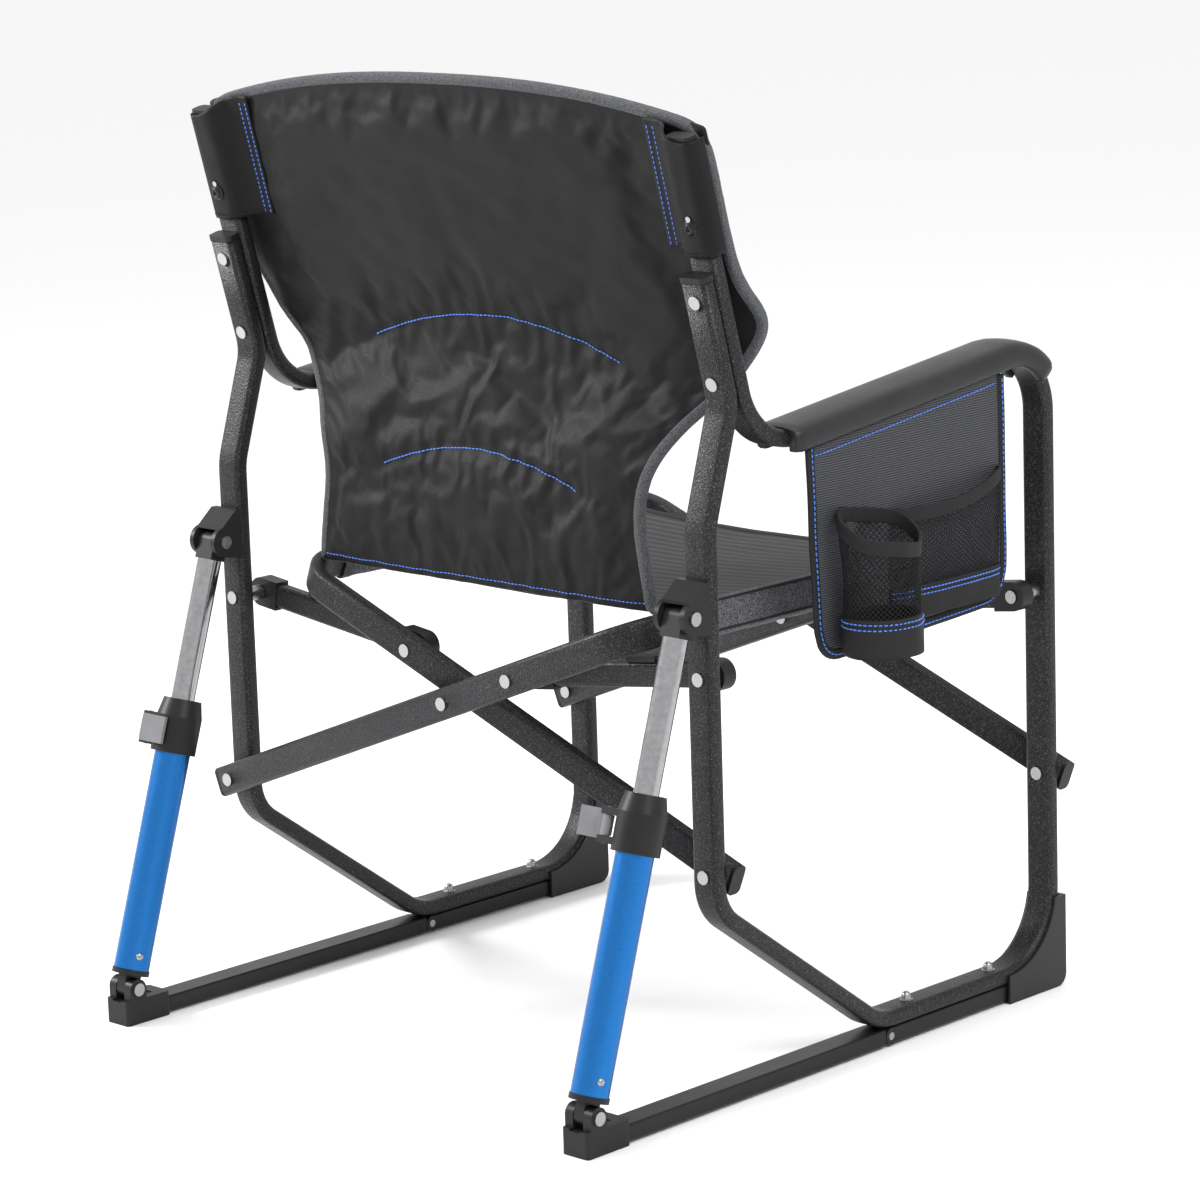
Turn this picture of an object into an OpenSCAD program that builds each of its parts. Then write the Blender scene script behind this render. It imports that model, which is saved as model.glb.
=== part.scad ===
// Folding camp chair that rocks on two floor rails. Millimetres.
// +Y is the back of the chair, -Y its front, +X the sitter's left hand, +Z up.

/* [Frame] */
// Half the distance between the two side frames
half_width = 294; // [280:1:300]
// Wide side of the flat frame tube
tube_w = 28; // [26:1:30]
// Thin side of the flat frame tube
tube_t = 15; // [13:1:16]
// Wall thickness of the frame tube
tube_wall = 1.6; // [1.2:0.1:2]
// Lean of the back uprights from the vertical
back_lean = 14.5; // [13:0.5:15]
// Height of the top of the back uprights
upright_top = 822; // [800:1:830]
// Distance from the floor to the underside of the floor rails
rail_lift = 2; // [1:0.5:3]

/* [Seat linkage] */
// Height of the seat arms' lower pivots on the legs
arm_pivot_z = 202; // [200:1:204]
// Slope of the seat arms when the chair is open
arm_slope = 21; // [20:0.5:22]
// Distance from the crossing of the seat arms to the seat rails, along the arm
rail_reach = 245; // [240:1:248]
// Angle the seat arms turn through when the chair folds
fold_angle = 41; // [36:1:41]
// Distance from the crossing to the stay pivots, along the arm
stay_reach = 88; // [84:1:90]

/* [Struts] */
// Outer radius of the strut cylinder
cylinder_r = 16.5; // [15:0.5:17]
// Radius of the strut rod
rod_r = 11; // [10:0.5:11.5]
// Length of the strut cylinder
cylinder_len = 222; // [205:1:228]

/* [Soft parts] */
// Thickness of the seat sheet
seat_t = 5; // [3:0.5:6]
// Thickness of the padded back
back_t = 16; // [12:1:18]
// Height of the middle of the back's top edge
back_top = 858; // [845:1:862]

/* [Hidden] */
$fn = 48;

// Corner radius of the flat tube
tube_r = 5;
// Clearance of a pin in its bore
pin_gap = 0.05;

// Centre line of the side frame, seen from the side as [y, z]
rear_leg_y = 143;
front_leg_y = -308;
run_z = rail_lift + tube_t + tube_t / 2;
lean_tan = tan(back_lean);
upright_y0 = 118.5;
function upright_y(z) = upright_y0 + (z - 690) * lean_tan;
arm_rear_z = 556;
arm_front_z = 604;
kink_low_z = 500;
kink_z = 600;
leg_gap = 0.5;
kink_y = upright_y(kink_z) + (tube_t + leg_gap) / cos(back_lean);
leg_top_z = 706;
leg_top_y = kink_y + (leg_top_z - kink_z) * lean_tan;
run_end_y = -62;
slope_top_z = 172;
side_path = [
    [upright_y(upright_top), upright_top],
    [upright_y(arm_rear_z), arm_rear_z],
    [front_leg_y, arm_front_z],
    [front_leg_y, run_z],
    [run_end_y, run_z],
    [rear_leg_y, slope_top_z],
    [rear_leg_y, kink_low_z],
    [kink_y, kink_z],
    [leg_top_y, leg_top_z]
];
side_bends = [0, 62, 58, 72, 60, 45, 60, 46, 0];

// Floor rails
foot_front_y = 264;
foot_rear_y = 315;
foot_w = 30;
rail_z = rail_lift + tube_t / 2;
rock_y = -74;
rock_pin_r = 3.5;
tongue_w = 14;
tongue_gap = 0.3;
shoe_front_y = -320;
shoe_rear_y = -237;
shoe_top_z = 86;
shoe_wall = 2.6;
run_bolt_y = [-110, -226];

// Seat arms: layers along Y
layer_gap = 2.5;
arm_len = half_width / cos(arm_slope);
cross_z = arm_pivot_z + arm_len * sin(arm_slope);
layer_step = tube_t + layer_gap;
rear_a_y = rear_leg_y + layer_step;
rear_b_y = rear_leg_y - layer_step;
front_a_y = front_leg_y + layer_step;
front_b_y = front_leg_y - layer_step;
seat_bend_r = 40;
plug_reach = 16;
rivet_r = 3.5;
rivet_head_r = 6;
rivet_head_t = 1.6;
sleeve_t = 1.6;

// Stays: the closing height makes the stay the same length open and folded
fold_slope = arm_slope + fold_angle;
sin_step = sin(fold_slope) - sin(arm_slope);
sin2_step = pow(sin(fold_slope), 2) - pow(sin(arm_slope), 2);
stay_rise = 2 * arm_len * stay_reach * sin2_step / ((arm_len + stay_reach) * sin_step);
stay_pivot_z = arm_pivot_z + stay_rise;
stay_inner_x = stay_reach * cos(arm_slope);
stay_inner_z = cross_z + stay_reach * sin(arm_slope);
stay_dx = half_width - stay_inner_x;
stay_dz = stay_pivot_z - stay_inner_z;
stay_len = sqrt(stay_dx * stay_dx + stay_dz * stay_dz);
stay_angle = atan2(stay_dz, stay_dx);
stay_w = 22;
stay_t = 14;
stay_cap_w = 27;
stay_cap_t = 15;
stay_cap_l = 22;
saddle_reach = 66;

// Struts
foot_pin_y = 301;
foot_pin_z = 32.5;
top_pin_y = 171;
top_pin_z = 430;
strut_dy = foot_pin_y - top_pin_y;
strut_dz = top_pin_z - foot_pin_z;
strut_len = sqrt(strut_dy * strut_dy + strut_dz * strut_dz);
strut_lean = atan2(strut_dy, strut_dz);
strut_pin_r = 4;
eye_r = 9;
cylinder_start = 17;
cylinder_end = cylinder_start + cylinder_len;
collar_start = cylinder_end - 20;
collar_len = 50;
rod_start = 128;
rod_end = strut_len - 12;
ear_w = 11;
lever_x = 25;
lever_y = 13;
lever_z = collar_start + 19;
lever_h = 17;

// Soft parts
sleeve_low_z = 738;
back_low_z = 417;
// Space between the uprights and the padded back, for the sleeve's cloth
back_gap = 2.6;

armrest_w = 52;
pocket_inset = 8;
cup_r = 40;
pocket_gap = 0.6;

// Shift that puts the origin under the middle of the overall box, cup pocket included
shift_x = cup_r + (pocket_gap - pocket_inset) / 2;
shift_y = (tube_t / 2 + rivet_head_t - front_b_y - foot_rear_y) / 2;

function dir_angle(a, b) = atan2(b[1] - a[1], b[0] - a[0]);
function wrap_angle(d) = d > 180 ? d - 360 : (d < -180 ? d + 360 : d);
function path_turn(p, i) = wrap_angle(dir_angle(p[i], p[i + 1]) - dir_angle(p[i - 1], p[i]));
function trim_len(p, r, i) = (i == 0 || i == len(p) - 1) ? 0 : r[i] * tan(abs(path_turn(p, i)) / 2);

// Rounded rectangle t by w, centred
module flat_section(t, w, r) {
    square([t - 2 * r, w], center = true);
    square([t, w - 2 * r], center = true);
    for (sx = [-1, 1], sy = [-1, 1])
        translate([sx * (t / 2 - r), sy * (w / 2 - r)]) circle(r = r);
}

// Points of bend i, offset to the left of the path
function bend_points(p, r, i, offset) =
    let (
        turn = path_turn(p, i),
        side = turn > 0 ? 1 : -1,
        a = dir_angle(p[i - 1], p[i]),
        start = p[i] - trim_len(p, r, i) * [cos(a), sin(a)],
        centre = start + side * r[i] * [-sin(a), cos(a)],
        steps = ceil(abs(turn) / 7.5),
        radius = r[i] - side * offset
    )
    [for (k = [0 : steps]) let (b = a - side * 90 + turn * k / steps) centre + radius * [cos(b), sin(b)]];

// Points along the whole path, offset to its left, with its two ends lengthened by extra
function side_points(p, r, offset, extra) =
    let (
        last = len(p) - 1,
        a = dir_angle(p[0], p[1]),
        b = dir_angle(p[last - 1], p[last])
    )
    concat(
        [p[0] + offset * [-sin(a), cos(a)] - extra * [cos(a), sin(a)]],
        [for (i = [1 : last - 1]) each bend_points(p, r, i, offset)],
        [p[last] + offset * [-sin(b), cos(b)] + extra * [cos(b), sin(b)]]
    );

function reversed(list) = [for (i = [len(list) - 1 : -1 : 0]) list[i]];

// Flat strip that follows the path, t wide
module strip(path, bends, t, extra = 0) {
    left_side = side_points(path, bends, t / 2, extra);
    right_side = side_points(path, bends, -t / 2, extra);
    polygon(concat(left_side, reversed(right_side)));
}

// Hollow flat tube bent along a path in the XY plane
module bent_tube(path, bends) {
    difference() {
        translate([0, 0, -tube_w / 2]) linear_extrude(tube_w) strip(path, bends, tube_t);
        translate([0, 0, tube_wall - tube_w / 2]) linear_extrude(tube_w - 2 * tube_wall)
            strip(path, bends, tube_t - 2 * tube_wall, 1);
    }
}

// Straight bar of the child section along Y between two values of y, centred on X and at height z
module bar_of(y0, y1, z) {
    translate([0, y0, z]) rotate([-90, 0, 0]) linear_extrude(y1 - y0) children();
}

// Stands the XY plane up as the YZ plane
module side_plane() {
    rotate([90, 0, 90]) children();
}

// Round bar along X, centred on the origin
module bar_x(r, l) {
    rotate([0, 90, 0]) cylinder(r = r, h = l, center = true);
}

// Round bar along Y between two values of y
module bar_y(r, y0, y1) {
    translate([0, y0, 0]) rotate([-90, 0, 0]) cylinder(r = r, h = y1 - y0);
}

// Rivet along Y with a low head at each end
module rivet_y(y0, y1, r = rivet_r, head = rivet_head_r) {
    bar_y(r, y0, y1);
    bar_y(head, y0 - rivet_head_t, y0);
    bar_y(head, y1, y1 + rivet_head_t);
}

module rounded_box(x, y, z, r) {
    linear_extrude(z) flat_section(x, y, r);
}

// ---- Side frame ----
module side_frame() {
    color("#3a3b3d") difference() {
        side_plane() bent_tube(side_path, side_bends);
        leg_bores(rivet_r + pin_gap);
        run_bolt_holes();
    }
}

// Bores in both legs for the seat arm rivets and the stay rivets
module leg_bores(r) {
    for (z = [arm_pivot_z, stay_pivot_z], y = [rear_leg_y, front_leg_y])
        translate([0, 0, z]) bar_y(r, y - tube_t, y + tube_t);
    for (p = top_rivets)
        translate([0, p[0], p[1]]) rotate([-back_lean, 0, 0]) bar_y(r, -30, 16);
}

// The two rivets that join the rear leg's top to the back upright, as [y, z] on the leg's centre line
top_rivets = [for (z = [620, 690]) [kink_y + (z - kink_z) * lean_tan, z]];

module run_bolt_holes() {
    for (y = run_bolt_y) translate([0, y, 0]) cylinder(r = 3 + pin_gap, h = 60);
}

// Front rail with a fork at its rear end for the rocking pin
module front_rail() {
    color("#1d1d1f") difference() {
        union() {
            bar_of(shoe_front_y + 8, rock_y, rail_z) rail_section();
            translate([0, rock_y, rail_z]) bar_x(tube_t / 2, tube_w - 2);
        }
        translate([-tongue_w / 2 - tongue_gap, rock_y - 9, 0]) cube([tongue_w + 2 * tongue_gap, 30, 30]);
        translate([0, rock_y, rail_z]) bar_x(rock_pin_r + pin_gap, 60);
        run_bolt_holes();
    }
}

// The floor rail's section: solid sided so that the fork can be cut in it
module rail_section() {
    flat_section(tube_w - 2, tube_t, 2);
}

module base_rail() {
    start = rock_y + tube_t / 2 + 0.6;
    color("#1d1d1f") difference() {
        union() {
            difference() {
                bar_of(start, foot_front_y + 30, rail_z) rail_section();
                translate([-(tube_w - 5) / 2, start + 24, rail_lift + 1.6])
                    cube([tube_w - 5, 400, tube_t - 3.2]);
            }
            translate([-tongue_w / 2, rock_y, rail_lift]) cube([tongue_w, start - rock_y + 2, tube_t]);
            translate([0, rock_y, rail_z]) bar_x(tube_t / 2, tongue_w);
        }
        translate([0, rock_y, rail_z]) bar_x(rock_pin_r + pin_gap, 60);
    }
}

module front_shoe() {
    bend_r = side_bends[3];
    centre_y = front_leg_y + bend_r;
    centre_z = run_z + bend_r;
    inner_w = tube_w + 0.4;
    outer_w = inner_w + 2 * shoe_wall;
    round_r = 12;
    color("#2b2b2d") difference() {
        side_plane() translate([0, 0, -outer_w / 2]) linear_extrude(outer_w) difference() {
            union() {
                translate([shoe_front_y, round_r]) square([shoe_rear_y - shoe_front_y, shoe_top_z - round_r]);
                translate([shoe_front_y + round_r, 0]) square([shoe_rear_y - shoe_front_y - round_r, 20]);
                translate([shoe_front_y + round_r, round_r]) circle(r = round_r);
            }
            translate([centre_y, centre_z]) circle(r = bend_r - 2, $fn = 96);
        }
        side_plane() translate([0, 0, -inner_w / 2]) linear_extrude(inner_w) {
            translate([shoe_front_y + shoe_wall, rail_lift - 0.2])
                square([200, tube_t + 20]);
            translate([front_leg_y - tube_t / 2 - 0.2, 20]) square([200, 100]);
        }
    }
    color("#2b2b2d") shoe_filler(inner_w + 1);
}

// Web under the tube's bend, inside the shoe
module shoe_filler(w) {
    bend_r = side_bends[3];
    side_plane() translate([0, 0, -w / 2]) linear_extrude(w) difference() {
        translate([front_leg_y - tube_t / 2 + 0.1, rail_lift + tube_t + 0.3]) square([28, 28]);
        translate([front_leg_y + bend_r, run_z + bend_r]) circle(r = bend_r + tube_t / 2 + 0.3, $fn = 96);
    }
}

module tube_plugs() {
    color("#19191a") {
        side_plane() translate([leg_top_y, leg_top_z]) rotate([0, 0, -back_lean])
            translate([0, 2.5]) rotate([90, 0, 0]) rotate([0, 0, 0])
            translate([0, 0, -2.5]) linear_extrude(5) flat_section(tube_t + 1, tube_w + 1, tube_r);
        side_plane() translate([upright_y(upright_top), upright_top]) rotate([0, 0, -back_lean])
            translate([0, 2.5]) rotate([90, 0, 0])
            translate([0, 0, -2.5]) linear_extrude(5) flat_section(tube_t, tube_w, tube_r);
    }
}

arm_rise = atan2(arm_front_z - arm_rear_z, upright_y(arm_rear_z) - front_leg_y);
armrest_rear_y = 46;
arm_bend_r = side_bends[2];
armrest_skirt = 18;
armrest_top_t = 5;
armrest_droop = 53;
armrest_gap = 0.4;
armrest_notch = 40;
arm_dir = 180 - arm_rise;
arm_path = [
    [armrest_rear_y, arm_z(armrest_rear_y)], [front_leg_y, arm_front_z], [front_leg_y, arm_front_z - 100]
];
arm_bends = [0, arm_bend_r, 0];
arm_centre = arm_path[1] - trim_len(arm_path, arm_bends, 1) * [cos(arm_dir), sin(arm_dir)]
    + arm_bend_r * [-sin(arm_dir), cos(arm_dir)];

// Side view of a band along the arm tube, from low to high above its centre line
module arm_band(low, high, extra) {
    polygon(concat(
        side_points(arm_path, arm_bends, -low, extra),
        reversed(side_points(arm_path, arm_bends, -high, extra))
    ));
}

// Armrest shell: a thick top with a skirt that hides the arm tube, bent down over the front bend
module armrest() {
    half_t = tube_t / 2 + armrest_gap;
    high = half_t + armrest_top_t;
    low = half_t - armrest_skirt;
    slot_w = tube_w + 2 * armrest_gap;
    color("#2f3032") difference() {
        side_plane() translate([0, 0, -armrest_w / 2]) linear_extrude(armrest_w) difference() {
            arm_band(low, high, 0);
            translate(arm_centre) rotate(arm_dir - 90 + armrest_droop) translate([-300, 0])
                square([600, 300]);
        }
        side_plane() translate([0, 0, -slot_w / 2]) linear_extrude(slot_w) {
            arm_band(low - 5, half_t, 20);
            translate(arm_path[0]) rotate(-arm_rise) translate([-armrest_notch, 0]) square(60);
        }
    }
}

// Height of the arm tube's centre line at y
function arm_z(y) = arm_front_z - (y - front_leg_y) * tan(arm_rise);

// U-shaped bracket on the back of the rear leg that carries the strut's top pin
module strut_bracket() {
    face_y = rear_leg_y + tube_t / 2 + 0.2;
    w = 34;
    slot_w = 24.4;
    color("#222224") difference() {
        side_plane() translate([0, 0, -w / 2]) linear_extrude(w) {
            translate([top_pin_y, top_pin_z]) circle(r = 14);
            polygon([
                [face_y, top_pin_z - 18], [top_pin_y, top_pin_z - 14], [top_pin_y + 13, top_pin_z + 5],
                [face_y + 6, top_pin_z + 28], [face_y, top_pin_z + 28]
            ]);
        }
        side_plane() translate([0, 0, -slot_w / 2]) linear_extrude(slot_w) {
            translate([top_pin_y, top_pin_z]) circle(r = 12.2);
            translate([top_pin_y, top_pin_z]) rotate([0, 0, strut_lean]) translate([-12.2, -60])
                square([60, 60]);
            translate([top_pin_y, top_pin_z]) square([30, 12.2]);
        }
        translate([-50, face_y - 10, 300]) cube([100, 10, 300]);
        translate([0, top_pin_y, top_pin_z]) bar_x(strut_pin_r + pin_gap, 60);
        for (z = [top_pin_z + 19]) translate([0, 0, z]) bar_y(2.6, face_y - 1, face_y + 3);
    }
}

// Strut's top pin and the rocking pin
module frame_pins() {
    color("silver") {
        translate([0, top_pin_y, top_pin_z]) {
            bar_x(strut_pin_r, 34);
            for (s = [-1, 1]) translate([s * 18, 0, 0]) bar_x(6, 2);
        }
        translate([0, rock_y, rail_z]) bar_x(rock_pin_r, tube_w - 2);
    }
}

// Run bolts with dome nuts, leg rivets and the back sleeve's screw; b_side is true on the side
// where the seat arm lies in front of the legs
module frame_fasteners(b_side) {
    color("silver") {
        for (y = run_bolt_y) translate([0, y, 0]) {
            translate([0, 0, rail_lift + 0.4]) cylinder(r = 3, h = run_z + tube_t / 2 - rail_lift + 1);
            translate([0, 0, run_z + tube_t / 2]) cylinder(r = 6, h = 1);
            translate([0, 0, run_z + tube_t / 2 + 1]) cylinder(r = 5, h = 3, $fn = 6);
            translate([0, 0, run_z + tube_t / 2 + 4]) difference() {
                sphere(r = 4.2);
                translate([-5, -5, -10]) cube([10, 10, 10]);
            }
        }
        for (p = top_rivets) translate([0, p[0], p[1]]) rotate([-back_lean, 0, 0])
            rivet_y(-tube_t * 1.5 - leg_gap, tube_t / 2);
        for (leg = [rear_leg_y, front_leg_y]) {
            arm_y = b_side ? leg - layer_step : leg + layer_step;
            low = min(arm_y, leg) - tube_t / 2;
            high = max(arm_y, leg) + tube_t / 2;
            translate([0, 0, arm_pivot_z]) {
                rivet_y(low, high);
                washer(arm_y, leg);
            }
            stay_low = stay_y(leg, b_side) - stay_cap_t / 2 - 0.3;
            stay_high = stay_y(leg, b_side) + stay_cap_t / 2 + 0.3;
            translate([0, 0, stay_pivot_z]) stay_rivet(leg, stay_low, stay_high);
        }
        translate([0, upright_y(760), 760]) rotate([-back_lean, 0, 0])
            bar_y(2.5, tube_t / 2 + 2.2, tube_t / 2 + 4.2);
    }
}

// Plain washer that fills most of the gap between a leg and a seat arm
module washer(arm_y, leg) {
    mid = (arm_y + leg) / 2;
    difference() {
        bar_y(8, mid - layer_gap / 2 + 0.2, mid + layer_gap / 2 - 0.2);
        bar_y(rivet_r + pin_gap, mid - 5, mid + 5);
    }
}

// Middle of the stay that is pinned to a leg: beside the seat arm, on the sitter's side
function stay_y(leg, b_side) =
    leg == rear_leg_y
        ? (b_side ? leg - layer_step : leg - layer_step - tube_t - 1)
        : (b_side ? leg + layer_step + tube_t + 1 : leg + layer_step);

// Rivet through a leg and a stay, with a spacer where the stay stands off the leg
module stay_rivet(leg, low, high) {
    near = leg > 0 ? low : leg - tube_t / 2;
    far = leg > 0 ? leg + tube_t / 2 : high;
    rivet_y(near, far);
    gap_low = leg > 0 ? high : leg + tube_t / 2;
    gap_high = leg > 0 ? leg - tube_t / 2 : low;
    difference() {
        bar_y(7, gap_low + 0.1, gap_high - 0.1);
        bar_y(rivet_r + pin_gap, gap_low - 1, gap_high + 1);
    }
}

// Cloth sleeve over the top of the back upright
module back_sleeve() {
    len_up = (upright_top + 8 - sleeve_low_z) / cos(back_lean);
    color("#1b1b1d") translate([0, upright_y(sleeve_low_z), sleeve_low_z]) rotate([-back_lean, 0, 0])
        difference() {
            linear_extrude(len_up) flat_section(tube_w + 5, tube_t + 4, 3);
            translate([0, 0, -1]) linear_extrude(len_up + 2)
                square([tube_w + 0.8, tube_t + 0.8], center = true);
        }
}

// ---- Seat frames ----
// Puts the plane of a seat frame, X along the arm away from its crossing, in place
module arm_plane(a_side) {
    translate([0, 0, cross_z]) rotate([0, a_side ? 180 + arm_slope : -arm_slope, 0]) children();
}

module seat_frame(a_side) {
    rear_y = a_side ? rear_a_y : rear_b_y;
    front_y = a_side ? front_a_y : front_b_y;
    low = -(arm_len + plug_reach - 4);
    path = [[low, rear_y], [rail_reach, rear_y], [rail_reach, front_y], [low, front_y]];
    color("#3a3b3d") difference() {
        arm_plane(a_side) bent_tube(path, [0, seat_bend_r, seat_bend_r, 0]);
        arm_plane(a_side) for (y = [rear_y, front_y], p = [-arm_len, 0, stay_reach])
            translate([p, y, 0]) bar_y(rivet_r + pin_gap, -tube_t, tube_t);
    }
}

module seat_plugs(a_side) {
    color("#19191a") for (y = a_side ? [rear_a_y, front_a_y] : [rear_b_y, front_b_y])
        arm_plane(a_side) translate([-(arm_len + plug_reach - 4) - 4, y, 0]) rotate([90, 0, 90])
            linear_extrude(4) flat_section(tube_t, tube_w, tube_r);
}

// Crossing rivets, carried by seat frame a, and its stay studs
module seat_rivets_a() {
    color("silver") arm_plane(true) {
        for (ys = [[rear_b_y, rear_a_y], [front_b_y, front_a_y]]) {
            rivet_y(ys[0] - tube_t / 2, ys[1] + tube_t / 2);
            difference() {
                bar_y(8, ys[0] + tube_t / 2 + 0.3, ys[1] - tube_t / 2 - 0.05);
                bar_y(rivet_r + pin_gap, ys[0], ys[1]);
            }
        }
        translate([stay_reach, 0, 0]) {
            rear_in = rear_b_y + stay_cap_t / 2 + 0.7;
            rivet_half(rear_in, rear_a_y + tube_t / 2, 1);
            bar_y(7, rear_in, rear_a_y - tube_t / 2 - 0.05);
            front_in = stay_y(front_leg_y, true) - stay_cap_t / 2 - 0.5;
            bar_y(rivet_r, front_a_y - tube_t / 2, front_a_y + tube_t / 2);
            bar_y(rivet_head_r, front_a_y - tube_t / 2 - rivet_head_t, front_a_y - tube_t / 2);
        }
    }
}

// Rivet with a head at its far end only
module rivet_half(y0, y1, head_side) {
    bar_y(rivet_r, y0, y1);
    if (head_side > 0) bar_y(rivet_head_r, y1, y1 + rivet_head_t);
    else bar_y(rivet_head_r, y0 - rivet_head_t, y0);
}

module seat_rivets_b() {
    color("silver") arm_plane(false) translate([stay_reach, 0, 0]) {
        bar_y(rivet_r, rear_b_y - tube_t / 2, rear_b_y + tube_t / 2);
        bar_y(rivet_head_r, rear_b_y + tube_t / 2, rear_b_y + tube_t / 2 + rivet_head_t);
        rivet_half(front_b_y - tube_t / 2, stay_y(front_leg_y, false) - stay_cap_t / 2 - 0.7, -1);
        bar_y(7, front_b_y + tube_t / 2 + 0.05, stay_y(front_leg_y, false) - stay_cap_t / 2 - 0.7);
    }
}

// Cloth sleeve round a seat rail
module rail_sleeve(a_side) {
    rear_y = (a_side ? rear_a_y : rear_b_y) - seat_bend_r - 4;
    front_y = (a_side ? front_a_y : front_b_y) + seat_bend_r + 4;
    color("#48484c") arm_plane(a_side) translate([rail_reach, front_y, 0]) rotate([-90, 0, 0])
        difference() {
            linear_extrude(rear_y - front_y)
                flat_section(tube_t + 2 * sleeve_t, tube_w + 2 * sleeve_t, 2);
            translate([0, 0, -1]) linear_extrude(rear_y - front_y + 2)
                square([tube_t + 0.6, tube_w + 0.6], center = true);
        }
}

rail_x = rail_reach * cos(arm_slope);
rail_top_z = cross_z + rail_reach * sin(arm_slope);
seat_front_y = -256;
seat_rear_y = 68;

// Sheet between the seat rails, a little lower in its middle
module seat_sheet() {
    edge_x = rail_x - tube_t / 2 - 7.5;
    sag = 10;
    top = rail_top_z + 10;
    color("#3c3c40") translate([0, seat_rear_y, 0]) rotate([90, 0, 0])
        linear_extrude(seat_rear_y - seat_front_y) polygon([
            [-edge_x, top], [-edge_x / 2, top - sag * 0.75], [0, top - sag], [edge_x / 2, top - sag * 0.75],
            [edge_x, top], [edge_x, top - seat_t], [edge_x / 2, top - sag * 0.75 - seat_t],
            [0, top - sag - seat_t], [-edge_x / 2, top - sag * 0.75 - seat_t], [-edge_x, top - seat_t]
        ]);
}

// Rear face of the back where it lies against the uprights
function back_rear_y(z) = upright_y(z) - (tube_t / 2 + back_gap) / cos(back_lean);

back_bend_z = 612;
back_hang_z = 535;
back_hang_y = 114;

// Padded back: in front of the uprights above, hanging straight down to the seat below, and waisted
module back_panel() {
    top_x = half_width + 10;
    waist_x = 200;
    low_x = 214;
    bend_y = back_rear_y(back_bend_z);
    color("#17171a") intersection() {
        rotate([90, 0, 0]) translate([0, 0, -300]) linear_extrude(600) polygon([
            [-low_x, back_low_z], [low_x, back_low_z], [low_x - 4, 440],
            [waist_x, 490], [waist_x + 8, 540], [waist_x + 34, 585],
            [half_width - 16, 640], [top_x, 680], [top_x, 830],
            [170, 848], [0, back_top], [-170, 848],
            [-top_x, 830], [-top_x, 665], [16 - half_width, 612],
            [-waist_x - 28, 560], [-waist_x - 6, 520], [-waist_x, 485],
            [4 - low_x, 440]
        ]);
        side_plane() translate([0, 0, -400]) linear_extrude(800) polygon([
            [back_rear_y(900), 900], [bend_y, back_bend_z], [back_hang_y, back_hang_z], [back_hang_y, 300],
            [back_hang_y - back_t, 300], [back_hang_y - back_t, back_hang_z], [bend_y - back_t, back_bend_z],
            [back_rear_y(900) - back_t, 900]
        ]);
    }
}

// ---- Stays ----
// X runs from the leg's pivot to the inner pivot, with the stay in the XZ plane
module stay_place(side, leg, b_side) {
    mirror([side < 0 ? 1 : 0, 0, 0]) translate([half_width, stay_y(leg, b_side), stay_pivot_z])
        rotate([0, 180 - stay_angle, 0]) children();
}

module stay(side, leg, b_side) {
    color("#3a3b3d") stay_place(side, leg, b_side) difference() {
        translate([stay_cap_l - 13, 0, 0]) rotate([90, 0, 90])
            linear_extrude(stay_len - 2 * stay_cap_l + 26) difference() {
                flat_section(stay_t, stay_w, 4);
                flat_section(stay_t - 3, stay_w - 3, 2.5);
            }
        for (x = [0, stay_len]) translate([x, 0, 0]) bar_y(rivet_r + 1, -20, 20);
    }
}

module stay_ends(side, leg, b_side) {
    color("#202022") stay_place(side, leg, b_side) {
        for (x = [0, stay_len]) difference() {
            translate([x, 0, 0]) hull_free_cap(x == 0 ? 1 : -1);
            translate([x, 0, 0]) bar_y(rivet_r + pin_gap, -20, 20);
        }
        translate([saddle_reach, 0, 0]) saddle();
    }
}

// End cap: a rounded sleeve over the end of a stay, open towards its middle
module hull_free_cap(inward) {
    difference() {
        union() {
            bar_y(stay_cap_w / 2, -stay_cap_t / 2, stay_cap_t / 2);
            translate([inward * stay_cap_l / 2, 0, 0])
                cube([stay_cap_l, stay_cap_t, stay_cap_w], center = true);
        }
        translate([inward * (8.5 + stay_cap_l / 2), 0, 0])
            cube([stay_cap_l, stay_t + 0.2, stay_w + 0.2], center = true);
    }
}

// Rest for the seat rail on top of a stay
module saddle() {
    translate([0, -stay_t / 2, -stay_w / 2 - 5.2]) cube([34, stay_t, 5]);
}

// ---- Struts ----
// Z runs up the strut from its foot pin
module strut_place() {
    translate([0, foot_pin_y, foot_pin_z]) rotate([strut_lean, 0, 0]) children();
}

module strut_cylinder() {
    color("#2468cc") strut_place() difference() {
        translate([0, 0, cylinder_start]) cylinder(r = cylinder_r, h = cylinder_len, $fn = 72);
        translate([0, 0, cylinder_start + 22]) cylinder(r = cylinder_r - 1.5, h = cylinder_len, $fn = 72);
        translate([0, 0, cylinder_start - 1]) cylinder(r = cylinder_r - 4, h = 40);
    }
}

// Black end of the cylinder with the eye for the foot pin
module strut_fitting() {
    color("#19191a") strut_place() difference() {
        union() {
            bar_x(eye_r, ear_w);
            translate([-ear_w / 2, -eye_r, 0]) cube([ear_w, 2 * eye_r, cylinder_start - 4]);
            translate([0, 0, cylinder_start - 5]) cylinder(r = cylinder_r + 0.8, h = 4.8);
            translate([0, 0, cylinder_start - 4]) cylinder(r = cylinder_r - 4.1, h = 30);
        }
        bar_x(strut_pin_r + pin_gap, 60);
    }
}

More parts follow.
